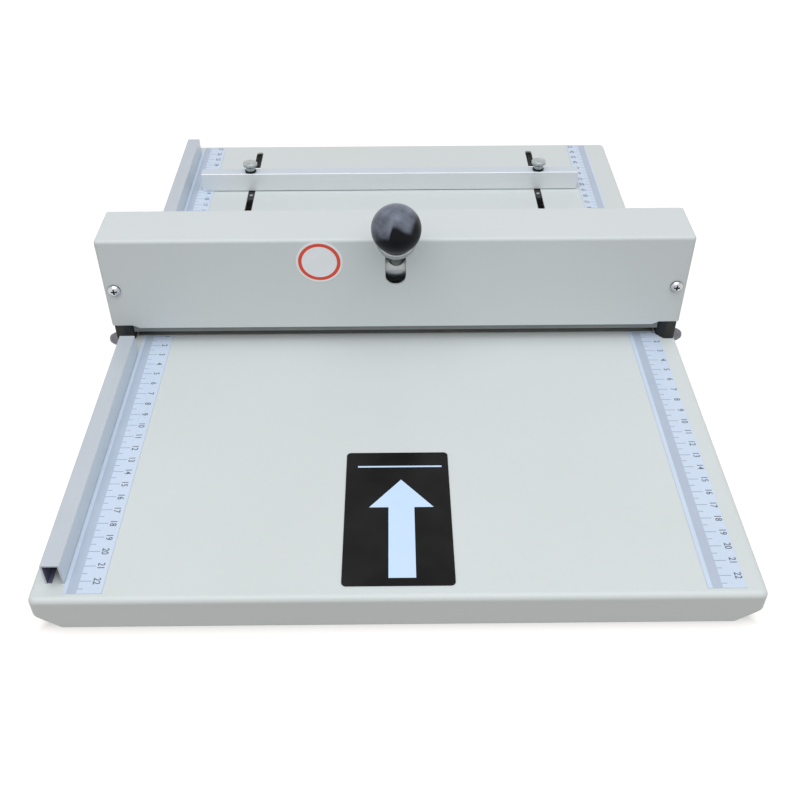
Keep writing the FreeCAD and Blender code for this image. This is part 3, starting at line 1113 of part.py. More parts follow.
def make_backstop():
    """Channel bar across the rear bed, the shoes that guide it in the slots, and its clamping parts."""
    bar = new_body("backstop_bar")
    rear = "stop_place + stop_depth"
    section = [
        ("stop_place", STOP_FLOOR), ("stop_place + stop_wall", STOP_FLOOR),
        ("stop_place + stop_wall", f"{STOP_TOP} - stop_wall"), (f"{rear} - stop_wall", f"{STOP_TOP} - stop_wall"),
        (f"{rear} - stop_wall", STOP_FLOOR), (rear, STOP_FLOOR), (rear, STOP_TOP), ("stop_place", STOP_TOP),
    ]
    pad(bar, outline(bar, "YZ", section, offset=f"-({HALF_BED} - stop_left_inset)"), "stop_length")
    top = size("scale_thickness") + size("stop_lift") + size("stop_height")
    soften(bar, "Fillet", "stop_edge", lambda b: b.XLength > 100 and near(b.ZMin, top))
    studs = [(f"{s}track_offset", STOP_MIDDLE) for s in ("", "-")]
    cut(bar, circles(bar, "XY", "stud_diameter + 2 * thread_fit", *studs), back=True)
    keep("backstop_bar", seat(bar))

    shoe = new_body("slot_shoe")
    half_boss = "(track_width / 2 - shoe_fit)"
    half_length = "(shoe_length / 2)"
    plate_top = "-bed_sheet - shoe_fit"
    along = (f"{STOP_MIDDLE} - {half_length}", f"{STOP_MIDDLE} + {half_length}")
    plate = box("track_offset - shoe_width / 2", "track_offset + shoe_width / 2", *along)
    pad(shoe, outline(shoe, "XY", plate, offset=plate_top), "shoe_height", back=True)
    boss = box(f"track_offset - {half_boss}", f"track_offset + {half_boss}", *along)
    pad(shoe, outline(shoe, "XY", boss, offset=plate_top), "bed_sheet")
    soften(shoe, "Fillet", f"{half_boss} * 0.9", lambda b: near(b.ZMax, -size("shoe_fit")) and b.ZLength > 1)
    stud = ("track_offset", STOP_MIDDLE)
    cut(shoe, circles(shoe, "XY", "stud_diameter + 2 * thread_fit", stud), both_ways=True)
    cut(shoe, circles(shoe, "XY", "shoe_pin + 2 * fixed_fit", ("track_offset", f"{STOP_MIDDLE} - shoe_pin_offset")),
        both_ways=True)
    seat(shoe)
    keep("slot_shoes", pair("slot_shoes", shoe))

    pin = bind(doc.addObject("Part::Cylinder", "shoe_pin"), Radius="shoe_pin / 2", Height="shoe_height + bed_sheet")
    seat(pin, x="track_offset", y=f"{STOP_MIDDLE} - shoe_pin_offset", z="-bed_sheet - shoe_fit - shoe_height")
    keep("shoe_pins", pair("shoe_pins", pin))

    nut = hex_nut("clamp_nut", "nut_flats", "nut_height", "stud_diameter + 2 * thread_fit")
    seat(nut, x="track_offset", y=STOP_MIDDLE, z="-bed_sheet - shoe_fit - shoe_height - nut_height")
    keep("clamp_nuts", pair("clamp_nuts", nut))

    washer = turned("thumb_washer", box("stud_diameter / 2 + thread_fit", "washer_radius", "0", "washer_height"))
    seat(washer, x="track_offset", y=STOP_MIDDLE, z=STOP_TOP)
    keep("thumb_washers", pair("thumb_washers", washer))

    tail = f"-({STOP_TOP} + washer_height + bed_sheet + shoe_fit + shoe_height + nut_height + stud_tail)"
    screw = turned(
        "thumb_screw",
        [
            ("0", tail), ("stud_diameter / 2", tail), ("stud_diameter / 2", "0"), ("neck_radius", "0"),
            ("neck_radius", "neck_height * 0.7"), ("head_radius", "neck_height"),
            ("head_radius", "neck_height + head_height * 0.6"),
            ("head_radius * 0.9", "neck_height + head_height"),
            ("head_radius * 0.5", "neck_height + head_height + head_dome * 0.8"),
            ("0", "neck_height + head_height + head_dome"),
        ],
    )
    right = keep("thumb_screw_right", seat(screw, x="track_offset", y=STOP_MIDDLE, z=f"{STOP_TOP} + washer_height"))
    keep("thumb_screw_left", mirrored("thumb_screw_left", right))


make_bed()
make_feet()
make_lower_beam()
make_die()
make_end_blocks()
make_block_screws()
make_tie_beam()
make_press_bar()
make_blade()
make_springs()
make_shaft()
make_cams()
make_lever()
make_cover()
make_side_lays()
make_scales()
make_labels()
make_backstop()
doc.recompute()

for thing in doc.Objects:
    if {"Invalid", "Error"} & set(thing.State):
        raise RuntimeError(f"{thing.Label} could not be built")
for name, part in parts.items():
    if part.Shape.isNull() or not part.Shape.isValid() or not part.Shape.Solids:
        raise RuntimeError(f"{name} has no sound solid")

os.makedirs("parts", exist_ok=True)
for name, part in parts.items():
    part.Shape.exportStep(os.path.join("parts", name + ".step"))
print(len(parts), "sub-parts written")
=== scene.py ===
import math

import bmesh
import bpy
from mathutils import Matrix, Vector


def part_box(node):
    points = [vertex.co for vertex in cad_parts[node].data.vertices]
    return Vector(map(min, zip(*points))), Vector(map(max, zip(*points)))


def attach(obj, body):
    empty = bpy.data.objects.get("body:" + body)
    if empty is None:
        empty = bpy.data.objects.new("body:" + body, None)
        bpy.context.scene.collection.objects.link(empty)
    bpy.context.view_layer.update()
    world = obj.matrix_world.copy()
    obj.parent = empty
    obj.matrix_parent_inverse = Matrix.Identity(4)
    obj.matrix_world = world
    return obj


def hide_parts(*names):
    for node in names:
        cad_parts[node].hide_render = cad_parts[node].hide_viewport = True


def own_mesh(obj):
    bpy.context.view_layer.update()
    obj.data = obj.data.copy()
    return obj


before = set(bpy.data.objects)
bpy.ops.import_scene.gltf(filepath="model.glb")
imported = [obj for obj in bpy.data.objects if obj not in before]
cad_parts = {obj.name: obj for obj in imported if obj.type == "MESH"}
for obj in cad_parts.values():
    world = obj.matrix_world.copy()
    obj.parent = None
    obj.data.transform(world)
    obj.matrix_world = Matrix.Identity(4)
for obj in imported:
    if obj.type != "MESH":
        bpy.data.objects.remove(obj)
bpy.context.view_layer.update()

# ---------------------------------------------------------------- camera
# The camera stands in front of the lever side, a little above the operator's
# eyes, and looks down over the arrow plate towards the cover.
EYE = (-0.00084, -0.56966, 0.42581)
YAW, PITCH, ROLL = (math.radians(angle) for angle in (0.352, 40.135, 0.2386))
FOCAL_LENGTH, SENSOR_WIDTH = 44.42, 36.0

lens = bpy.data.cameras.new("camera")
lens.lens = FOCAL_LENGTH
lens.sensor_width = SENSOR_WIDTH
camera = bpy.data.objects.new("camera", lens)
camera.matrix_world = (
    Matrix.Translation(EYE)
    @ Matrix.Rotation(-YAW, 4, "Z")
    @ Matrix.Rotation(math.pi / 2 - PITCH, 4, "X")
    @ Matrix.Rotation(-ROLL, 4, "Z")
)
scene = bpy.context.scene
scene.collection.objects.link(camera)
scene.camera = camera
scene.view_settings.view_transform = "Standard"


# ---------------------------------------------------------------- table and studio light
# A wide paper sweep under the feet, one large softbox in front of and above the
# machine and an even room round it. Sweep and room look white themselves but light gently.
class Reading:
    """A value that varies over a surface; arithmetic on it adds Math nodes."""

    def __init__(self, wiring, socket):
        self.wiring = wiring
        self.socket = socket

    def maths(self, operation, first, second):
        return self.wiring.node("ShaderNodeMath", {"operation": operation}, {0: first, 1: second})

    def __add__(self, other):
        return self.maths("ADD", self, other)

    def __radd__(self, other):
        return self.maths("ADD", other, self)

    def __sub__(self, other):
        return self.maths("SUBTRACT", self, other)

    def __rsub__(self, other):
        return self.maths("SUBTRACT", other, self)

    def __mul__(self, other):
        return self.maths("MULTIPLY", self, other)

    def __rmul__(self, other):
        return self.maths("MULTIPLY", other, self)

    def __abs__(self):
        return self.maths("ABSOLUTE", self, 0.0)

    def greater(self, other):
        """Whichever of the two readings is greater."""
        return self.maths("MAXIMUM", self, other)


class Wiring:
    """A node tree in which node() adds one node: its settings first, then its sockets."""

    def __init__(self, tree):
        self.tree = tree
        tree.nodes.clear()

    def join(self, socket, value):
        if isinstance(value, Reading):
            self.tree.links.new(value.socket, socket)
        else:
            socket.default_value = value

    def node(self, kind, settings=None, sockets=None, output=0):
        made = self.tree.nodes.new(kind)
        for name, value in (settings or {}).items():
            setattr(made, name, value)
        for name, value in (sockets or {}).items():
            self.join(made.inputs[name], value)
        return Reading(self, made.outputs[output]) if made.outputs else made

    def in_view(self):
        """1 where a surface is looked at, straight or in a shiny one; 0 where it only gives light."""
        straight, mirrored, through = (
            self.node("ShaderNodeLightPath", output=f"Is {way} Ray")
            for way in ("Camera", "Glossy", "Transmission"))
        return straight.greater(mirrored.greater(through))


class Finish(Wiring):
    """A surface finish: one Principled shader, its fixed values and the readings that vary it."""

    def __init__(self, name, fixed):
        self.material = bpy.data.materials.new(name)
        self.material.use_nodes = True
        super().__init__(self.material.node_tree)
        surface = self.node("ShaderNodeBsdfPrincipled", None, fixed)
        self.shader = surface.socket.node
        self.node("ShaderNodeOutputMaterial", None, {"Surface": surface})
        self.place = self.node("ShaderNodeTexCoord", output="Object")

    def rising(self, reading, start, end):
        """0 below start, 1 above end, and smooth between them."""
        return self.node("ShaderNodeMapRange", {"interpolation_type": "SMOOTHSTEP"},
                         {"Value": reading, "From Min": start, "From Max": end})

    def grain(self, scale, detail=2.0, stretch=(1.0, 1.0, 1.0)):
        """Noise of `scale` cells to the metre, drawn out where `stretch` is small."""
        drawn = self.node("ShaderNodeVectorMath", {"operation": "MULTIPLY"}, {0: self.place, 1: stretch})
        return self.node("ShaderNodeTexNoise", None, {"Vector": drawn, "Scale": scale, "Detail": detail})

    def facing(self, direction):
        """How squarely the surface faces a direction: 1 square on, 0 and less turned away."""
        outward = self.node("ShaderNodeTexCoord", output="Normal")
        return self.node("ShaderNodeVectorMath", {"operation": "DOT_PRODUCT"},
                         {0: outward, 1: direction}, output="Value")

    def colour(self, low, high, share):
        mixed = self.node("ShaderNodeMix", {"data_type": "RGBA"}, {0: share, 6: low, 7: high}, output=2)
        self.join(self.shader.inputs["Base Color"], mixed)

    def roughness(self, reading):
        self.join(self.shader.inputs["Roughness"], reading)

    def relief(self, height, depth, rounding=0.0):
        """Bump of `depth` metres; edges look rounded by `rounding` metres."""
        sockets = {"Height": height, "Strength": 1.0, "Distance": depth}
        if rounding:
            sockets["Normal"] = self.node("ShaderNodeBevel", {"samples": 4}, {"Radius": rounding})
        self.join(self.shader.inputs["Normal"], self.node("ShaderNodeBump", None, sockets))


def shade(red, green, blue):
    """A colour as a paint chart gives it, 0 to 255, as the shader takes it."""
    linear = [v / 255 / 12.92 if v <= 10.3 else ((v / 255 + 0.055) / 1.055) ** 2.4
              for v in (red, green, blue)]
    return (*linear, 1.0)


def make(name, shape, *finishes):
    """Turns a drawn shape into an object that wears these finishes."""
    mesh = bpy.data.meshes.new(name)
    shape.to_mesh(mesh)
    shape.free()
    for finish in finishes:
        mesh.materials.append(finish.material)
    made = bpy.data.objects.new(name, mesh)
    scene.collection.objects.link(made)
    return made


PAPER_REACH, PAPER_GLOW = 4.0, 0.86
# The paper glows white where it is in view, but the glow fades out over a box round the machine,
# painting a soft shadow edge there; under the machine the paper keeps its own tone in real shadow.
SHADE_REACH_ACROSS, SHADE_REACH_ALONG, SHADE_SHIFT, SHADE_BLUR = 0.174, 0.2395, 0.0045, 0.018
BLACK, WHITE = (0.0, 0.0, 0.0, 1.0), (1.0, 1.0, 1.0, 1.0)

paper = Finish("table_paper", {
    "Roughness": 0.9, "Specular IOR Level": 0.1, "Emission Strength": PAPER_GLOW})
paper.colour(shade(137, 131, 124), shade(141, 135, 128), paper.grain(40.0, 3.0))
across, along = (paper.node("ShaderNodeSeparateXYZ", None, {0: paper.place}, output=axis)
                 for axis in (0, 1))
beyond_sides = abs(across) - SHADE_REACH_ACROSS
beyond_ends = abs(along - SHADE_SHIFT) - SHADE_REACH_ALONG
# Painted shadow: the glow is cut off over the machine's footprint and fades back in over the blur.
outside_painted_shadow = paper.rising(beyond_sides.greater(beyond_ends), 0.0, SHADE_BLUR)
glow = paper.node("ShaderNodeMix", {"data_type": "RGBA"},
                  {0: paper.in_view() * outside_painted_shadow, 6: BLACK, 7: WHITE}, output=2)
paper.join(paper.shader.inputs["Emission Color"], glow)

sweep = bmesh.new()
bmesh.ops.create_grid(sweep, x_segments=1, y_segments=1, size=PAPER_REACH)
make("table", sweep, paper)

ROOM_LIGHT, ROOM_WHITE, ROOM_COLOUR = 0.465, 1.04, (1.0, 0.986, 0.97, 1.0)
room = bpy.data.worlds.new("room")
room.use_nodes = True
scene.world = room
walls = Wiring(room.node_tree)
wall_light = walls.node("ShaderNodeBackground", None, {
    "Color": ROOM_COLOUR, "Strength": ROOM_LIGHT + (ROOM_WHITE - ROOM_LIGHT) * walls.in_view()})
walls.node("ShaderNodeOutputWorld", None, {"Surface": wall_light})

SOFTBOX_SIDE, SOFTBOX_POWER, SOFTBOX_COLOUR = 2.24, 35.4, (0.978, 1.0, 1.018)
SOFTBOX_PLACE, SOFTBOX_AIM = Vector((0.0, -0.80, 1.97)), Vector((0.0, -0.05, 0.05))
tube = bpy.data.lights.new("softbox", "AREA")
tube.shape = "SQUARE"
tube.size = SOFTBOX_SIDE
tube.energy = SOFTBOX_POWER
tube.color = SOFTBOX_COLOUR
softbox = bpy.data.objects.new("softbox", tube)
softbox.location = SOFTBOX_PLACE
softbox.rotation_euler = (SOFTBOX_AIM - SOFTBOX_PLACE).to_track_quat("-Z", "Y").to_euler()
scene.collection.objects.link(softbox)


# ---------------------------------------------------------------- bed
# One folded steel sheet with a front flange, sides and slots for the backstop,
# powder coated light grey. The coat has a fine orange peel and slightly rounded edges.
def dress(finish, *names):
    """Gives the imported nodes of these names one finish."""
    for name in names:
        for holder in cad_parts[name].material_slots:
            holder.material = finish.material


def powder_coat(name, low, high):
    """Baked powder: faint clouds, a fine speckle and orange peel."""
    coat = Finish(name, {"Metallic": 0.0, "Specular IOR Level": 0.45})
    cloud, speckle, peel = coat.grain(9.0, 4.0), coat.grain(420.0, 3.0), coat.grain(1100.0, 1.0)
    coat.colour(low, high, 0.5 + 1.2 * (cloud - 0.5) + 0.5 * (speckle - 0.5))
    coat.roughness(0.42 + 0.16 * (cloud - 0.5) + 0.10 * (speckle - 0.5))
    coat.relief(peel + 0.4 * speckle, 0.000012, rounding=0.0006)
    return coat


bed_enamel = powder_coat("bed_enamel", shade(206, 212, 212), shade(212, 218, 219))
dress(bed_enamel, "bed")


# ---------------------------------------------------------------- feet
# Four moulded rubber feet, each held to the bed by a zinc-plated pan-head screw
# whose head sits in the foot's well, with a hexagon nut above.
rubber = Finish("foot_rubber", {"Specular IOR Level": 0.3})
tack = rubber.grain(700.0, 3.0)
rubber.colour(shade(34, 34, 35), shade(52, 52, 53), tack)
rubber.roughness(0.72 + 0.2 * (rubber.grain(90.0, 3.0) - 0.5))
rubber.relief(tack, 0.00004, rounding=0.0005)
dress(rubber, "rubber_feet")


def plated(name, low, high, dullness):
    """Bright plate over turned steel: faint clouds, fine scratches, and painted shade darkening its
    recesses.
    """
    plate = Finish(name, {"Metallic": 1.0})
    cloud, scratch = plate.grain(260.0, 4.0), plate.grain(900.0, 2.0, (1.0, 1.0, 9.0))
    openness = plate.node("ShaderNodeAmbientOcclusion", {"samples": 12}, {"Distance": 0.0016}, output=1)
    unshaded_tone = plate.node("ShaderNodeMix", {"data_type": "RGBA"},
                       {0: 0.5 + 1.6 * (cloud - 0.5), 6: low, 7: high}, output=2)
    # Painted shade: where ambient occlusion finds a recess, such as a screw's cross, the colour goes
    # nearly black.
    plate.colour(shade(20, 21, 24), unshaded_tone, 1.0 - 2.6 * (1.0 - openness))
    plate.roughness(dullness + 0.14 * (cloud - 0.5) + 0.10 * (scratch - 0.5))
    plate.relief(scratch, 0.000004, rounding=0.0002)
    return plate


zinc = plated("bright_zinc", shade(172, 175, 180), shade(208, 210, 214), 0.2)
dress(zinc, "foot_screws", "foot_nuts")


# ---------------------------------------------------------------- lower beam
# A steel beam across the machine under the bed that backs up the grooved die,
# painted satin dark grey by hand spray.
def sprayed(name, low, high, dullness):
    """Satin paint from a spray gun, a little uneven, with dust in it."""
    paint = Finish(name, {"Specular IOR Level": 0.45})
    mist, dust = paint.grain(60.0, 5.0), paint.grain(1500.0, 2.0)
    paint.colour(low, high, 0.5 + 1.5 * (mist - 0.5) + 0.4 * (dust - 0.5))
    paint.roughness(dullness + 0.2 * (mist - 0.5) + 0.1 * (dust - 0.5))
    paint.relief(dust, 0.000012, rounding=0.0004)
    return paint


beam_paint = sprayed("beam_paint", shade(52, 54, 56), shade(66, 68, 71), 0.46)
dress(beam_paint, "lower_beam")


# ---------------------------------------------------------------- crease die
# A ground steel strip with the crease groove along it, browned against rust and
# screwed down through the bed with black countersunk screws.
def ground(name, low, high, dullness, along, brightness=1.0):
    """Ground steel: fine lines that run where `along` is small, and a patchy tone."""
    steel = Finish(name, {"Metallic": brightness})
    lines, patch = steel.grain(2400.0, 2.0, along), steel.grain(45.0, 4.0)
    steel.colour(low, high, 0.5 + 0.9 * (patch - 0.5) + 0.7 * (lines - 0.5))
    steel.roughness(dullness + 0.18 * (lines - 0.5) + 0.12 * (patch - 0.5))
    steel.relief(lines, 0.000006, rounding=0.0003)
    return steel


ALONG_X = (0.01, 1.0, 1.0)
browned = ground("browned_steel", shade(116, 118, 118), shade(140, 142, 141), 0.42, ALONG_X,
                 brightness=0.4)
dress(browned, "crease_die")
black_oxide = plated("black_oxide", shade(44, 45, 48), shade(66, 67, 71), 0.36)
dress(black_oxide, "die_screws")


# ---------------------------------------------------------------- end blocks
# Two machined blocks that carry the shaft, guide the press bar and stand on the
# beam, enamelled black. Countersunk screws come up from the bed, one bolt from the side.
block_enamel = sprayed("block_enamel", shade(13, 15, 16), shade(21, 24, 25), 0.4)
dress(block_enamel, "end_block_left", "end_block_right")
dress(black_oxide, "block_screws")
bolt_zinc = plated("dull_zinc", shade(92, 93, 100), shade(128, 129, 137), 0.28)
dress(bolt_zinc, "side_bolts")


# ---------------------------------------------------------------- tie beam and shaft saddles
# A painted tie bar joins the tops of the end blocks, and two saddles screwed
# under it hold the shaft down against the pull of the cams.
dress(beam_paint, "tie_beam", "shaft_saddles")
dress(black_oxide, "tie_screws", "saddle_screws")


# ---------------------------------------------------------------- press bar and crease blade
# The press bar is sprayed dark grey and runs in the blocks' grooves. A ground,
# hardened blade stands in its slot, pinched by a row of set screws.
bar_paint = sprayed("bar_paint", shade(122, 127, 127), shade(136, 141, 141), 0.4)
dress(bar_paint, "press_bar")
hardened = ground("hardened_steel", shade(180, 182, 184), shade(206, 207, 209), 0.24, ALONG_X)
dress(hardened, "crease_blade")
dress(black_oxide, "blade_screws")


# ---------------------------------------------------------------- return springs
# A closed-end compression spring of drawn wire stands in each block's groove
# under the press bar's tongue, and lifts the bar when the lever comes up.
SPRING_WIRE, LIVE_TURNS, DEAD_TURNS = 0.0009, 4.0, 0.75
STEPS_PER_TURN, WIRE_SIDES = 28, 10

wire_steel = Finish("spring_wire", {"Metallic": 1.0})
draw_lines = wire_steel.grain(1800.0, 2.0, (1.0, 1.0, 4.0))
wire_steel.colour(shade(150, 151, 154), shade(190, 191, 193), draw_lines)
wire_steel.roughness(0.3 + 0.2 * (draw_lines - 0.5))
wire_steel.relief(draw_lines, 0.000005)


def spring_rise(turn, span):
    """Height of the wire's middle after so many turns; the end turns lie closed."""
    live_pitch = (span - 2 * DEAD_TURNS * SPRING_WIRE) / LIVE_TURNS
    live = min(max(turn - DEAD_TURNS, 0.0), LIVE_TURNS)
    return (turn - live) * SPRING_WIRE + live * live_pitch


def skin(shape, loops):
    """Joins each closed loop of corners to the next with faces, and returns the faces in order."""
    faces = []
    for loop, following in zip(loops, loops[1:]):
        for i in range(len(loop)):
            j = (i + 1) % len(loop)
            faces.append(shape.faces.new((loop[i], loop[j], following[j], following[i])))
    return faces


low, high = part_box("return_springs")
spring_y = (low.y + high.y) / 2
coil_radius = (high.y - low.y - SPRING_WIRE) / 2
spring_span = high.z - low.z - SPRING_WIRE
upward = Vector((0.0, 0.0, 1.0))
wire_angles = [2 * math.pi * side / WIRE_SIDES for side in range(WIRE_SIDES)]
all_turns = LIVE_TURNS + 2 * DEAD_TURNS
steps = round(all_turns * STEPS_PER_TURN)
coils = bmesh.new()
for spring_x in (low.x + coil_radius + SPRING_WIRE / 2, high.x - coil_radius - SPRING_WIRE / 2):
    foot = Vector((spring_x, spring_y, low.z + SPRING_WIRE / 2))
    rings = []
    for step in range(steps + 1):
        turn = all_turns * step / steps
        outward = Vector((math.cos(2 * math.pi * turn), math.sin(2 * math.pi * turn), 0.0))
        middle = foot + coil_radius * outward + spring_rise(turn, spring_span) * upward
        rings.append([
            coils.verts.new(middle + SPRING_WIRE / 2 * (math.cos(a) * outward + math.sin(a) * upward))
            for a in wire_angles])
    skin(coils, rings)
    coils.faces.new(list(reversed(rings[0])))
    coils.faces.new(rings[-1])
bmesh.ops.recalc_face_normals(coils, faces=coils.faces)
for face in coils.faces:
    face.smooth = len(face.verts) == 4
coil_springs = make("coil_springs", coils, wire_steel)
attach(coil_springs, "machine")
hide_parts("return_springs")
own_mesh(coil_springs)


# ---------------------------------------------------------------- cam shaft
# Bright turned shaft in two flanged sintered bronze bushes, kept in place by two
# open spring rings in its grooves.
def turned(name, low, high, dullness, across):
    """Turned metal: tool lines round the piece, packed along the axis in `across`."""
    metal = Finish(name, {"Metallic": 1.0})
    lines, patch = metal.grain(3000.0, 1.0, across), metal.grain(120.0, 4.0)
    metal.colour(low, high, 0.5 + 0.6 * (lines - 0.5) + 0.8 * (patch - 0.5))
    metal.roughness(dullness + 0.2 * (lines - 0.5) + 0.12 * (patch - 0.5))
    metal.relief(lines, 0.000004, rounding=0.0002)
    return metal


shaft_steel = turned("shaft_steel", shade(190, 192, 194), shade(214, 215, 217), 0.22, (1.0, 0.03, 0.03))
dress(shaft_steel, "cam_shaft")
bronze = Finish("sintered_bronze", {"Metallic": 1.0})
pores = bronze.node("ShaderNodeTexVoronoi", None, {"Vector": bronze.place, "Scale": 2600.0})
bronze.colour(shade(132, 104, 62), shade(186, 150, 98), 0.3 + 0.9 * pores)
bronze.roughness(0.5 - 0.3 * (pores - 0.5))
bronze.relief(pores, 0.00002, rounding=0.0002)
dress(bronze, "shaft_bushes")
dress(wire_steel, "shaft_rings")


# ---------------------------------------------------------------- cams
# Two hardened cams with an involute working face, ground to the profile and
# pinned through the shaft.
cam_steel = ground("cam_steel", shade(150, 152, 154), shade(186, 187, 190), 0.3, ALONG_X)
dress(cam_steel, "cam_left", "cam_right")
dress(wire_steel, "cam_pins")


# ---------------------------------------------------------------- lever
# The hub is pinned to the shaft. A turned stem of satin nickel plate screws into
# it and comes out through the slot in the cover.
nickel = turned("satin_nickel", shade(156, 160, 161), shade(184, 187, 189), 0.34, (0.2, 0.2, 1.0))
dress(nickel, "lever_hub", "lever_stem")
dress(wire_steel, "hub_pin")


# ---------------------------------------------------------------- ball knob
# A polished dark blue-grey thermoset ball, pressed and tumbled, screwed on the
# stem. Its upper part is painted pale as a painted reflection of the bright room, and below it stays
# dark.
# Where the ball's painted reflection lies: pale towards the upper back, above an uneven lower edge, and
# clear of a dark rim on the right.
REFLECTION_SIDE = (0.0, 0.6446, 0.7645)
REFLECTION_FOOT, REFLECTION_BLUR, REFLECTION_DRIFT = -0.54, 0.13, 0.26
NOTCH_RISE, NOTCH_RISE_SPAN = 0.44, (-0.32, -0.10)
NOTCH_FALL, NOTCH_FALL_SPAN = -0.20, (-0.05, 0.40)
DARK_RIM_EDGE, DARK_RIM_LEAN = 0.64, 0.24

knob_polish = Finish("knob_polish", {"Specular IOR Level": 0.1})
ball_low, ball_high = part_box("ball_knob")
from_middle = knob_polish.node("ShaderNodeVectorMath", {"operation": "SUBTRACT"},
                               {0: knob_polish.place, 1: (ball_low + ball_high) / 2})


def reach(direction):
    """How far out a point of the ball lies in a direction: -1 on the far side, 1 on the near side."""
    outward = Vector(direction) * 2 / (ball_high.x - ball_low.x)
    return knob_polish.node("ShaderNodeVectorMath", {"operation": "DOT_PRODUCT"},
                            {0: from_middle, 1: outward}, output="Value")


to_right, to_reflection_side = reach((1.0, 0.0, 0.0)), reach(REFLECTION_SIDE)
smudge_and_wobble, reflection_mottle, rub = (knob_polish.grain(*grain) for grain in ((110.0, 2.0), (170.0, 3.0), (900.0, 2.0)))
# Painted reflection: the pale share above the uneven edge, mottled and lighter towards the top, cut off
# by a dark rim on the right; the same noise also varies the roughness.
edge = (REFLECTION_FOOT + NOTCH_RISE * knob_polish.rising(to_right, *NOTCH_RISE_SPAN)
        + NOTCH_FALL * knob_polish.rising(to_right, *NOTCH_FALL_SPAN))
drift = REFLECTION_DRIFT * (smudge_and_wobble - 0.5)
in_painted_reflection = knob_polish.rising(to_reflection_side - edge + drift, -REFLECTION_BLUR, REFLECTION_BLUR)
clear_of_dark_rim = 1.0 - knob_polish.rising(to_right - DARK_RIM_LEAN * to_reflection_side + drift,
                                     DARK_RIM_EDGE - REFLECTION_BLUR / 2, DARK_RIM_EDGE + REFLECTION_BLUR)
knob_polish.colour(shade(18, 19, 24), shade(122, 128, 143),
                   in_painted_reflection * clear_of_dark_rim * (0.68 + 1.2 * (reflection_mottle - 0.5) + 0.22 * to_reflection_side))
knob_polish.roughness(0.3 + 0.1 * (smudge_and_wobble - 0.5) + 0.06 * (rub - 0.5))
knob_polish.relief(rub, 0.000003)
dress(knob_polish, "ball_knob")


# ---------------------------------------------------------------- cover
# A folded steel hood over the mechanism, coated like the bed, with the slot for
# the lever. Two cross-recessed pan screws hold each end.
cover_enamel = powder_coat("cover_enamel", shade(204, 210, 211), shade(210, 216, 218))
dress(cover_enamel, "housing_cover")
dress(zinc, "cover_screws")


# ---------------------------------------------------------------- side guides
# Extruded aluminium channels along the left edge, satin anodised, on moulded blocks
# that screws hold to the bed. Paper is pushed against their inner wall. The front
# channel has a small foot inside its outer wall, and its inside is painted dull bluish grey as painted
# shade.
ALONG_Y = (1.0, 0.01, 1.0)
anodised = Finish("lay_anodising", {"Metallic": 0.3, "Specular IOR Level": 0.4})
die_lines, bloom = anodised.grain(2600.0, 2.0, ALONG_Y), anodised.grain(30.0, 4.0)
# Painted light: faces turned towards +X, the inner wall, are painted lighter than the top, as the light
# falls on them.
inner_wall_light = anodised.facing((1.0, 0.0, 0.0))
anodised.colour(shade(181, 188, 198), shade(216, 224, 231),
                0.1 + 0.8 * inner_wall_light + 0.2 * (die_lines - 0.5) + 0.25 * bloom)
anodised.roughness(0.42 + 0.16 * (die_lines - 0.5) + 0.1 * (bloom - 0.5))
anodised.relief(die_lines, 0.000006, rounding=0.0003)
dress(anodised, "rear_guide")
nylon = Finish("moulded_nylon", {"Specular IOR Level": 0.4})
spark = nylon.grain(1200.0, 3.0)
nylon.colour(shade(26, 26, 27), shade(40, 40, 42), spark)
nylon.roughness(0.55 + 0.2 * (spark - 0.5))
nylon.relief(spark, 0.00003, rounding=0.0003)
dress(nylon, "guide_blocks")
dress(zinc, "guide_screws")

CHANNEL_WALL, CHANNEL_BEND, CHANNEL_REAR_END = 0.001, 0.0004, -0.0496
FOOT_REACH, FOOT_RISE = 0.0023, 0.0005

# Painted shade: the channel's inside faces and its foot wear this dark bluish grey for the shade inside
# it.
inside_shade = sprayed("channel_inside_shade", shade(92, 96, 118), shade(108, 112, 135), 0.5)
low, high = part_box("front_guide")
outer_wall, inner_wall, roof = low.x + CHANNEL_WALL, high.x - CHANNEL_WALL, high.z - CHANNEL_WALL
foot_end, foot_top = outer_wall + FOOT_REACH, low.z + FOOT_RISE
outside = [(low.x, low.z), (low.x, high.z), (high.x, high.z), (high.x, low.z)]
inside = [(inner_wall, low.z), (inner_wall, roof), (outer_wall, roof),
          (outer_wall, foot_top), (foot_end, foot_top), (foot_end, low.z)]
channel = bmesh.new()
front_end, rear_end = ([channel.verts.new((x, y, z)) for x, z in outside + inside]
                       for y in (low.y, CHANNEL_REAR_END))
for shaded_face in skin(channel, [front_end, rear_end])[len(outside):-1]:
    shaded_face.material_index = 1
for end in (front_end, rear_end):
    channel.faces.new(end)
outer_bends = [channel.edges.get((front_end[corner], rear_end[corner])) for corner in (1, 2)]
bmesh.ops.bevel(channel, geom=outer_bends, offset=CHANNEL_BEND, segments=3, profile=0.5, affect="EDGES")
bmesh.ops.recalc_face_normals(channel, faces=channel.faces)
front_channel = make("front_channel", channel, anodised, inside_shade)
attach(front_channel, "machine")
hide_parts("front_guide")


# ---------------------------------------------------------------- printed scales
# Four strips of white plastic film stuck to the bed. Each is printed with a grey
# band, a tick for every half centimetre and the centimetres counted from the crease.
CREASE_Y = -0.0223
INK = 0.00004
CENTIMETRE = 0.01
LONG_TICK, SHORT_TICK, TICK_WIDTH = 0.0060, 0.0028, 0.0004
NUMERAL_SIZE, NUMERAL_NARROWING, NUMERAL_SPREAD = 0.0052, 0.87, 0.00006

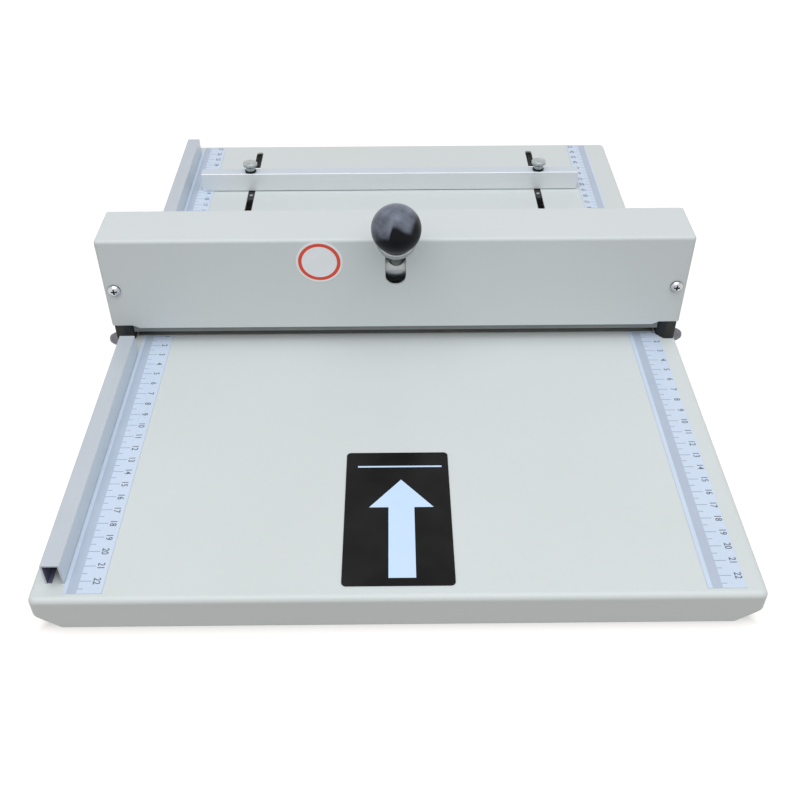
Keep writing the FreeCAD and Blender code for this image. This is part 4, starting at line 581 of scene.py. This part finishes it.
film = Finish("scale_film", {"Specular IOR Level": 0.5})
fade, scuff = film.grain(25.0, 4.0), film.grain(700.0, 3.0, (1.0, 0.3, 1.0))
film.colour(shade(198, 212, 231), shade(206, 220, 239), 0.5 + 1.2 * (fade - 0.5))
film.roughness(0.3 + 0.14 * (fade - 0.5) + 0.14 * (scuff - 0.5))
film.relief(scuff, 0.000005, rounding=0.0002)


def ink(name, low, high):
    """A thin printed layer, a little uneven where the screen left it thin."""
    printed = Finish(name, {"Specular IOR Level": 0.4})
    screen, wear = printed.grain(1600.0, 2.0), printed.grain(80.0, 4.0)
    printed.colour(low, high, 0.5 + 0.8 * (screen - 0.5) + 0.8 * (wear - 0.5))
    printed.roughness(0.38 + 0.2 * (wear - 0.5))
    printed.relief(screen, 0.000004)
    return printed


band_ink = ink("band_ink", shade(172, 184, 202), shade(184, 196, 214))
tick_ink = ink("tick_ink", shade(138, 148, 168), shade(160, 170, 190))
numeral_ink = ink("numeral_ink", shade(82, 88, 102), shade(102, 108, 122))


def slab(sheet, corners, floor):
    """Adds one closed printed shape; its corners go anticlockwise seen from above."""
    under = [sheet.verts.new((x, y, floor)) for x, y in corners]
    over = [sheet.verts.new((x, y, floor + INK)) for x, y in corners]
    sheet.faces.new(over)
    sheet.faces.new(list(reversed(under)))
    skin(sheet, [under, over])


def bar_corners(x_one, x_two, y_one, y_two):
    """The corners of a straight bar, anticlockwise, whichever way its ends are given."""
    left, right = sorted((x_one, x_two))
    front, back = sorted((y_one, y_two))
    return [(left, front), (right, front), (right, back), (left, back)]


def printed_piece(name, sheet, finish):
    """Makes a print that stays on the machine."""
    piece = make(name, sheet, finish)
    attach(piece, "machine")


def add_numeral(sheet, number, turn, x, y, floor):
    """Adds a number as thin printed figures, turned about the upright through its middle."""
    letters = bpy.data.curves.new("numeral", "FONT")
    letters.body = str(number)
    letters.size = NUMERAL_SIZE
    letters.extrude = INK / 2
    letters.offset = NUMERAL_SPREAD
    letters.resolution_u = 4
    letters.align_x = "CENTER"
    letters.align_y = "CENTER"
    holder = bpy.data.objects.new("numeral", letters)
    cut = bpy.data.meshes.new_from_object(holder)
    cut.transform(Matrix.Translation((x, y, floor + INK / 2)) @ Matrix.Rotation(turn, 4, "Z")
                  @ Matrix.Diagonal((NUMERAL_NARROWING, 1.0, 1.0, 1.0)))
    sheet.from_mesh(cut)
    bpy.data.objects.remove(holder)
    bpy.data.curves.remove(letters)
    bpy.data.meshes.remove(cut)


# The band's outer edge, its inner edge where the ticks start, the line down the middle
# of the numerals, and whether the strip counts to the front (-1) or to the rear (1).
STRIPS = {
    "front_left": (-0.1680, -0.1629, -0.1543, -1),
    "front_right": (0.1592, 0.1644, 0.1739, -1),
    "rear_left": (-0.1680, -0.1629, -0.1543, 1),
    "rear_right": (0.1691, 0.1639, 0.1569, 1),
}
for strip, (band_outer, band_inner, numeral_line, count) in STRIPS.items():
    node = f"ruler_{strip}"
    dress(film, node)
    low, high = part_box(node)
    side = math.copysign(1.0, band_inner - band_outer)
    band, ticks, numerals = bmesh.new(), bmesh.new(), bmesh.new()
    slab(band, bar_corners(band_outer, band_inner, low.y, high.y), high.z)
    printed_length = (CREASE_Y - low.y) if count < 0 else (high.y - CREASE_Y)
    for half in range(2, int(printed_length / (CENTIMETRE / 2)) + 1):
        y = CREASE_Y + count * half * CENTIMETRE / 2
        if half % 2:
            tick_end = band_inner + side * SHORT_TICK
        else:
            tick_end = band_inner + side * LONG_TICK
            add_numeral(numerals, half // 2, -side * math.pi / 2, numeral_line, y, high.z)
        slab(ticks, bar_corners(band_inner, tick_end, y - TICK_WIDTH / 2, y + TICK_WIDTH / 2), high.z)
    printed_piece(f"{strip}_band", band, band_ink)
    printed_piece(f"{strip}_ticks", ticks, tick_ink)
    printed_piece(f"{strip}_numerals", numerals, numeral_ink)


# ---------------------------------------------------------------- arrow plate
# A black plastic plate stuck to the front of the bed, printed with a pale arrow
# that points the way the paper goes in, and a plain rule line over it.
ARROW_TIP, ARROW_NECK, ARROW_TAIL = -0.1709, -0.1923, -0.2420
ARROW_HEAD, ARROW_SHAFT = 0.0356, 0.0142
RULE_LENGTH, RULE_WIDTH, RULE_Y = 0.048, 0.0012, -0.1602
ARROW_MIDDLE, RULE_MIDDLE = 0.0020, 0.0014

plate_black = Finish("plate_black", {"Specular IOR Level": 0.1})
smear, fleck = plate_black.grain(35.0, 5.0), plate_black.grain(1500.0, 2.0)
plate_black.colour(shade(13, 13, 15), shade(34, 34, 35), 0.5 + 1.8 * (smear - 0.5))
plate_black.roughness(0.34 + 0.2 * (smear - 0.5) + 0.08 * (fleck - 0.5))
plate_black.relief(fleck, 0.000008, rounding=0.0002)
dress(plate_black, "arrow_label")
arrow_ink = ink("arrow_ink", shade(197, 221, 248), shade(204, 228, 255))

plate_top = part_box("arrow_label")[1].z
arrow = bmesh.new()
slab(arrow, [(ARROW_MIDDLE + x, y) for x, y in (
    (-ARROW_SHAFT / 2, ARROW_TAIL), (ARROW_SHAFT / 2, ARROW_TAIL), (ARROW_SHAFT / 2, ARROW_NECK),
    (ARROW_HEAD / 2, ARROW_NECK), (0.0, ARROW_TIP), (-ARROW_HEAD / 2, ARROW_NECK),
    (-ARROW_SHAFT / 2, ARROW_NECK))], plate_top)
slab(arrow, bar_corners(RULE_MIDDLE - RULE_LENGTH / 2, RULE_MIDDLE + RULE_LENGTH / 2,
                        RULE_Y - RULE_WIDTH / 2, RULE_Y + RULE_WIDTH / 2), plate_top)
printed_piece("arrow_print", arrow, arrow_ink)


# ---------------------------------------------------------------- round sticker
# A white vinyl disc stuck to the front of the cover, printed with a plain
# orange-red ring.
RING_OUTER, RING_WIDTH, RING_STEPS = 0.01335, 0.0022, 96

vinyl = Finish("white_vinyl", {"Specular IOR Level": 0.5})
yellowing = vinyl.grain(90.0, 4.0)
vinyl.colour(shade(227, 230, 234), shade(238, 241, 245), yellowing)
vinyl.roughness(0.32 + 0.2 * (yellowing - 0.5))
vinyl.relief(vinyl.grain(500.0, 3.0), 0.000006)
dress(vinyl, "round_label")
ring_ink = ink("ring_ink", shade(212, 63, 40), shade(230, 80, 54))

low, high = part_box("round_label")
disc_x, disc_z, disc_face = (low.x + high.x) / 2, (low.z + high.z) / 2, low.y
ring_inner = RING_OUTER - RING_WIDTH
angles = [2 * math.pi * step / RING_STEPS for step in range(RING_STEPS)]
ring = bmesh.new()
loops = [
    [ring.verts.new((disc_x + radius * math.cos(a), y, disc_z + radius * math.sin(a))) for a in angles]
    for radius, y in ((RING_OUTER, disc_face), (RING_OUTER, disc_face - INK),
                      (ring_inner, disc_face - INK), (ring_inner, disc_face))]
skin(ring, loops + loops[:1])
bmesh.ops.recalc_face_normals(ring, faces=ring.faces)
printed_piece("ring_print", ring, ring_ink)


# ---------------------------------------------------------------- backstop
# An extruded satin bar that slides in the bed's slots on nylon shoes. Two bright
# thumb screws clamp it, each through a washer into a nut below the bed.
stop_metal = Finish("stop_anodising", {"Metallic": 0.3, "Specular IOR Level": 0.4})
stop_lines, stop_bloom = stop_metal.grain(2600.0, 2.0, ALONG_X), stop_metal.grain(30.0, 4.0)
# Painted light: the front faces are painted lighter than the top, as the light falls on them.
stop_front_light = stop_metal.facing((0.0, -1.0, 0.0))
stop_metal.colour(shade(197, 206, 218), shade(227, 231, 233),
                  0.1 + 0.8 * stop_front_light + 0.2 * (stop_lines - 0.5) + 0.25 * (stop_bloom - 0.5))
stop_metal.roughness(0.40 + 0.16 * (stop_lines - 0.5) + 0.1 * (stop_bloom - 0.5))
stop_metal.relief(stop_lines, 0.000006, rounding=0.0003)
dress(stop_metal, "backstop_bar")
dress(nylon, "slot_shoes")
dress(zinc, "shoe_pins", "clamp_nuts")
dress(black_oxide, "thumb_washers")
thumb_nickel = plated("thumb_nickel", shade(154, 162, 164), shade(188, 195, 197), 0.17)
dress(thumb_nickel, "thumb_screw_left", "thumb_screw_right")
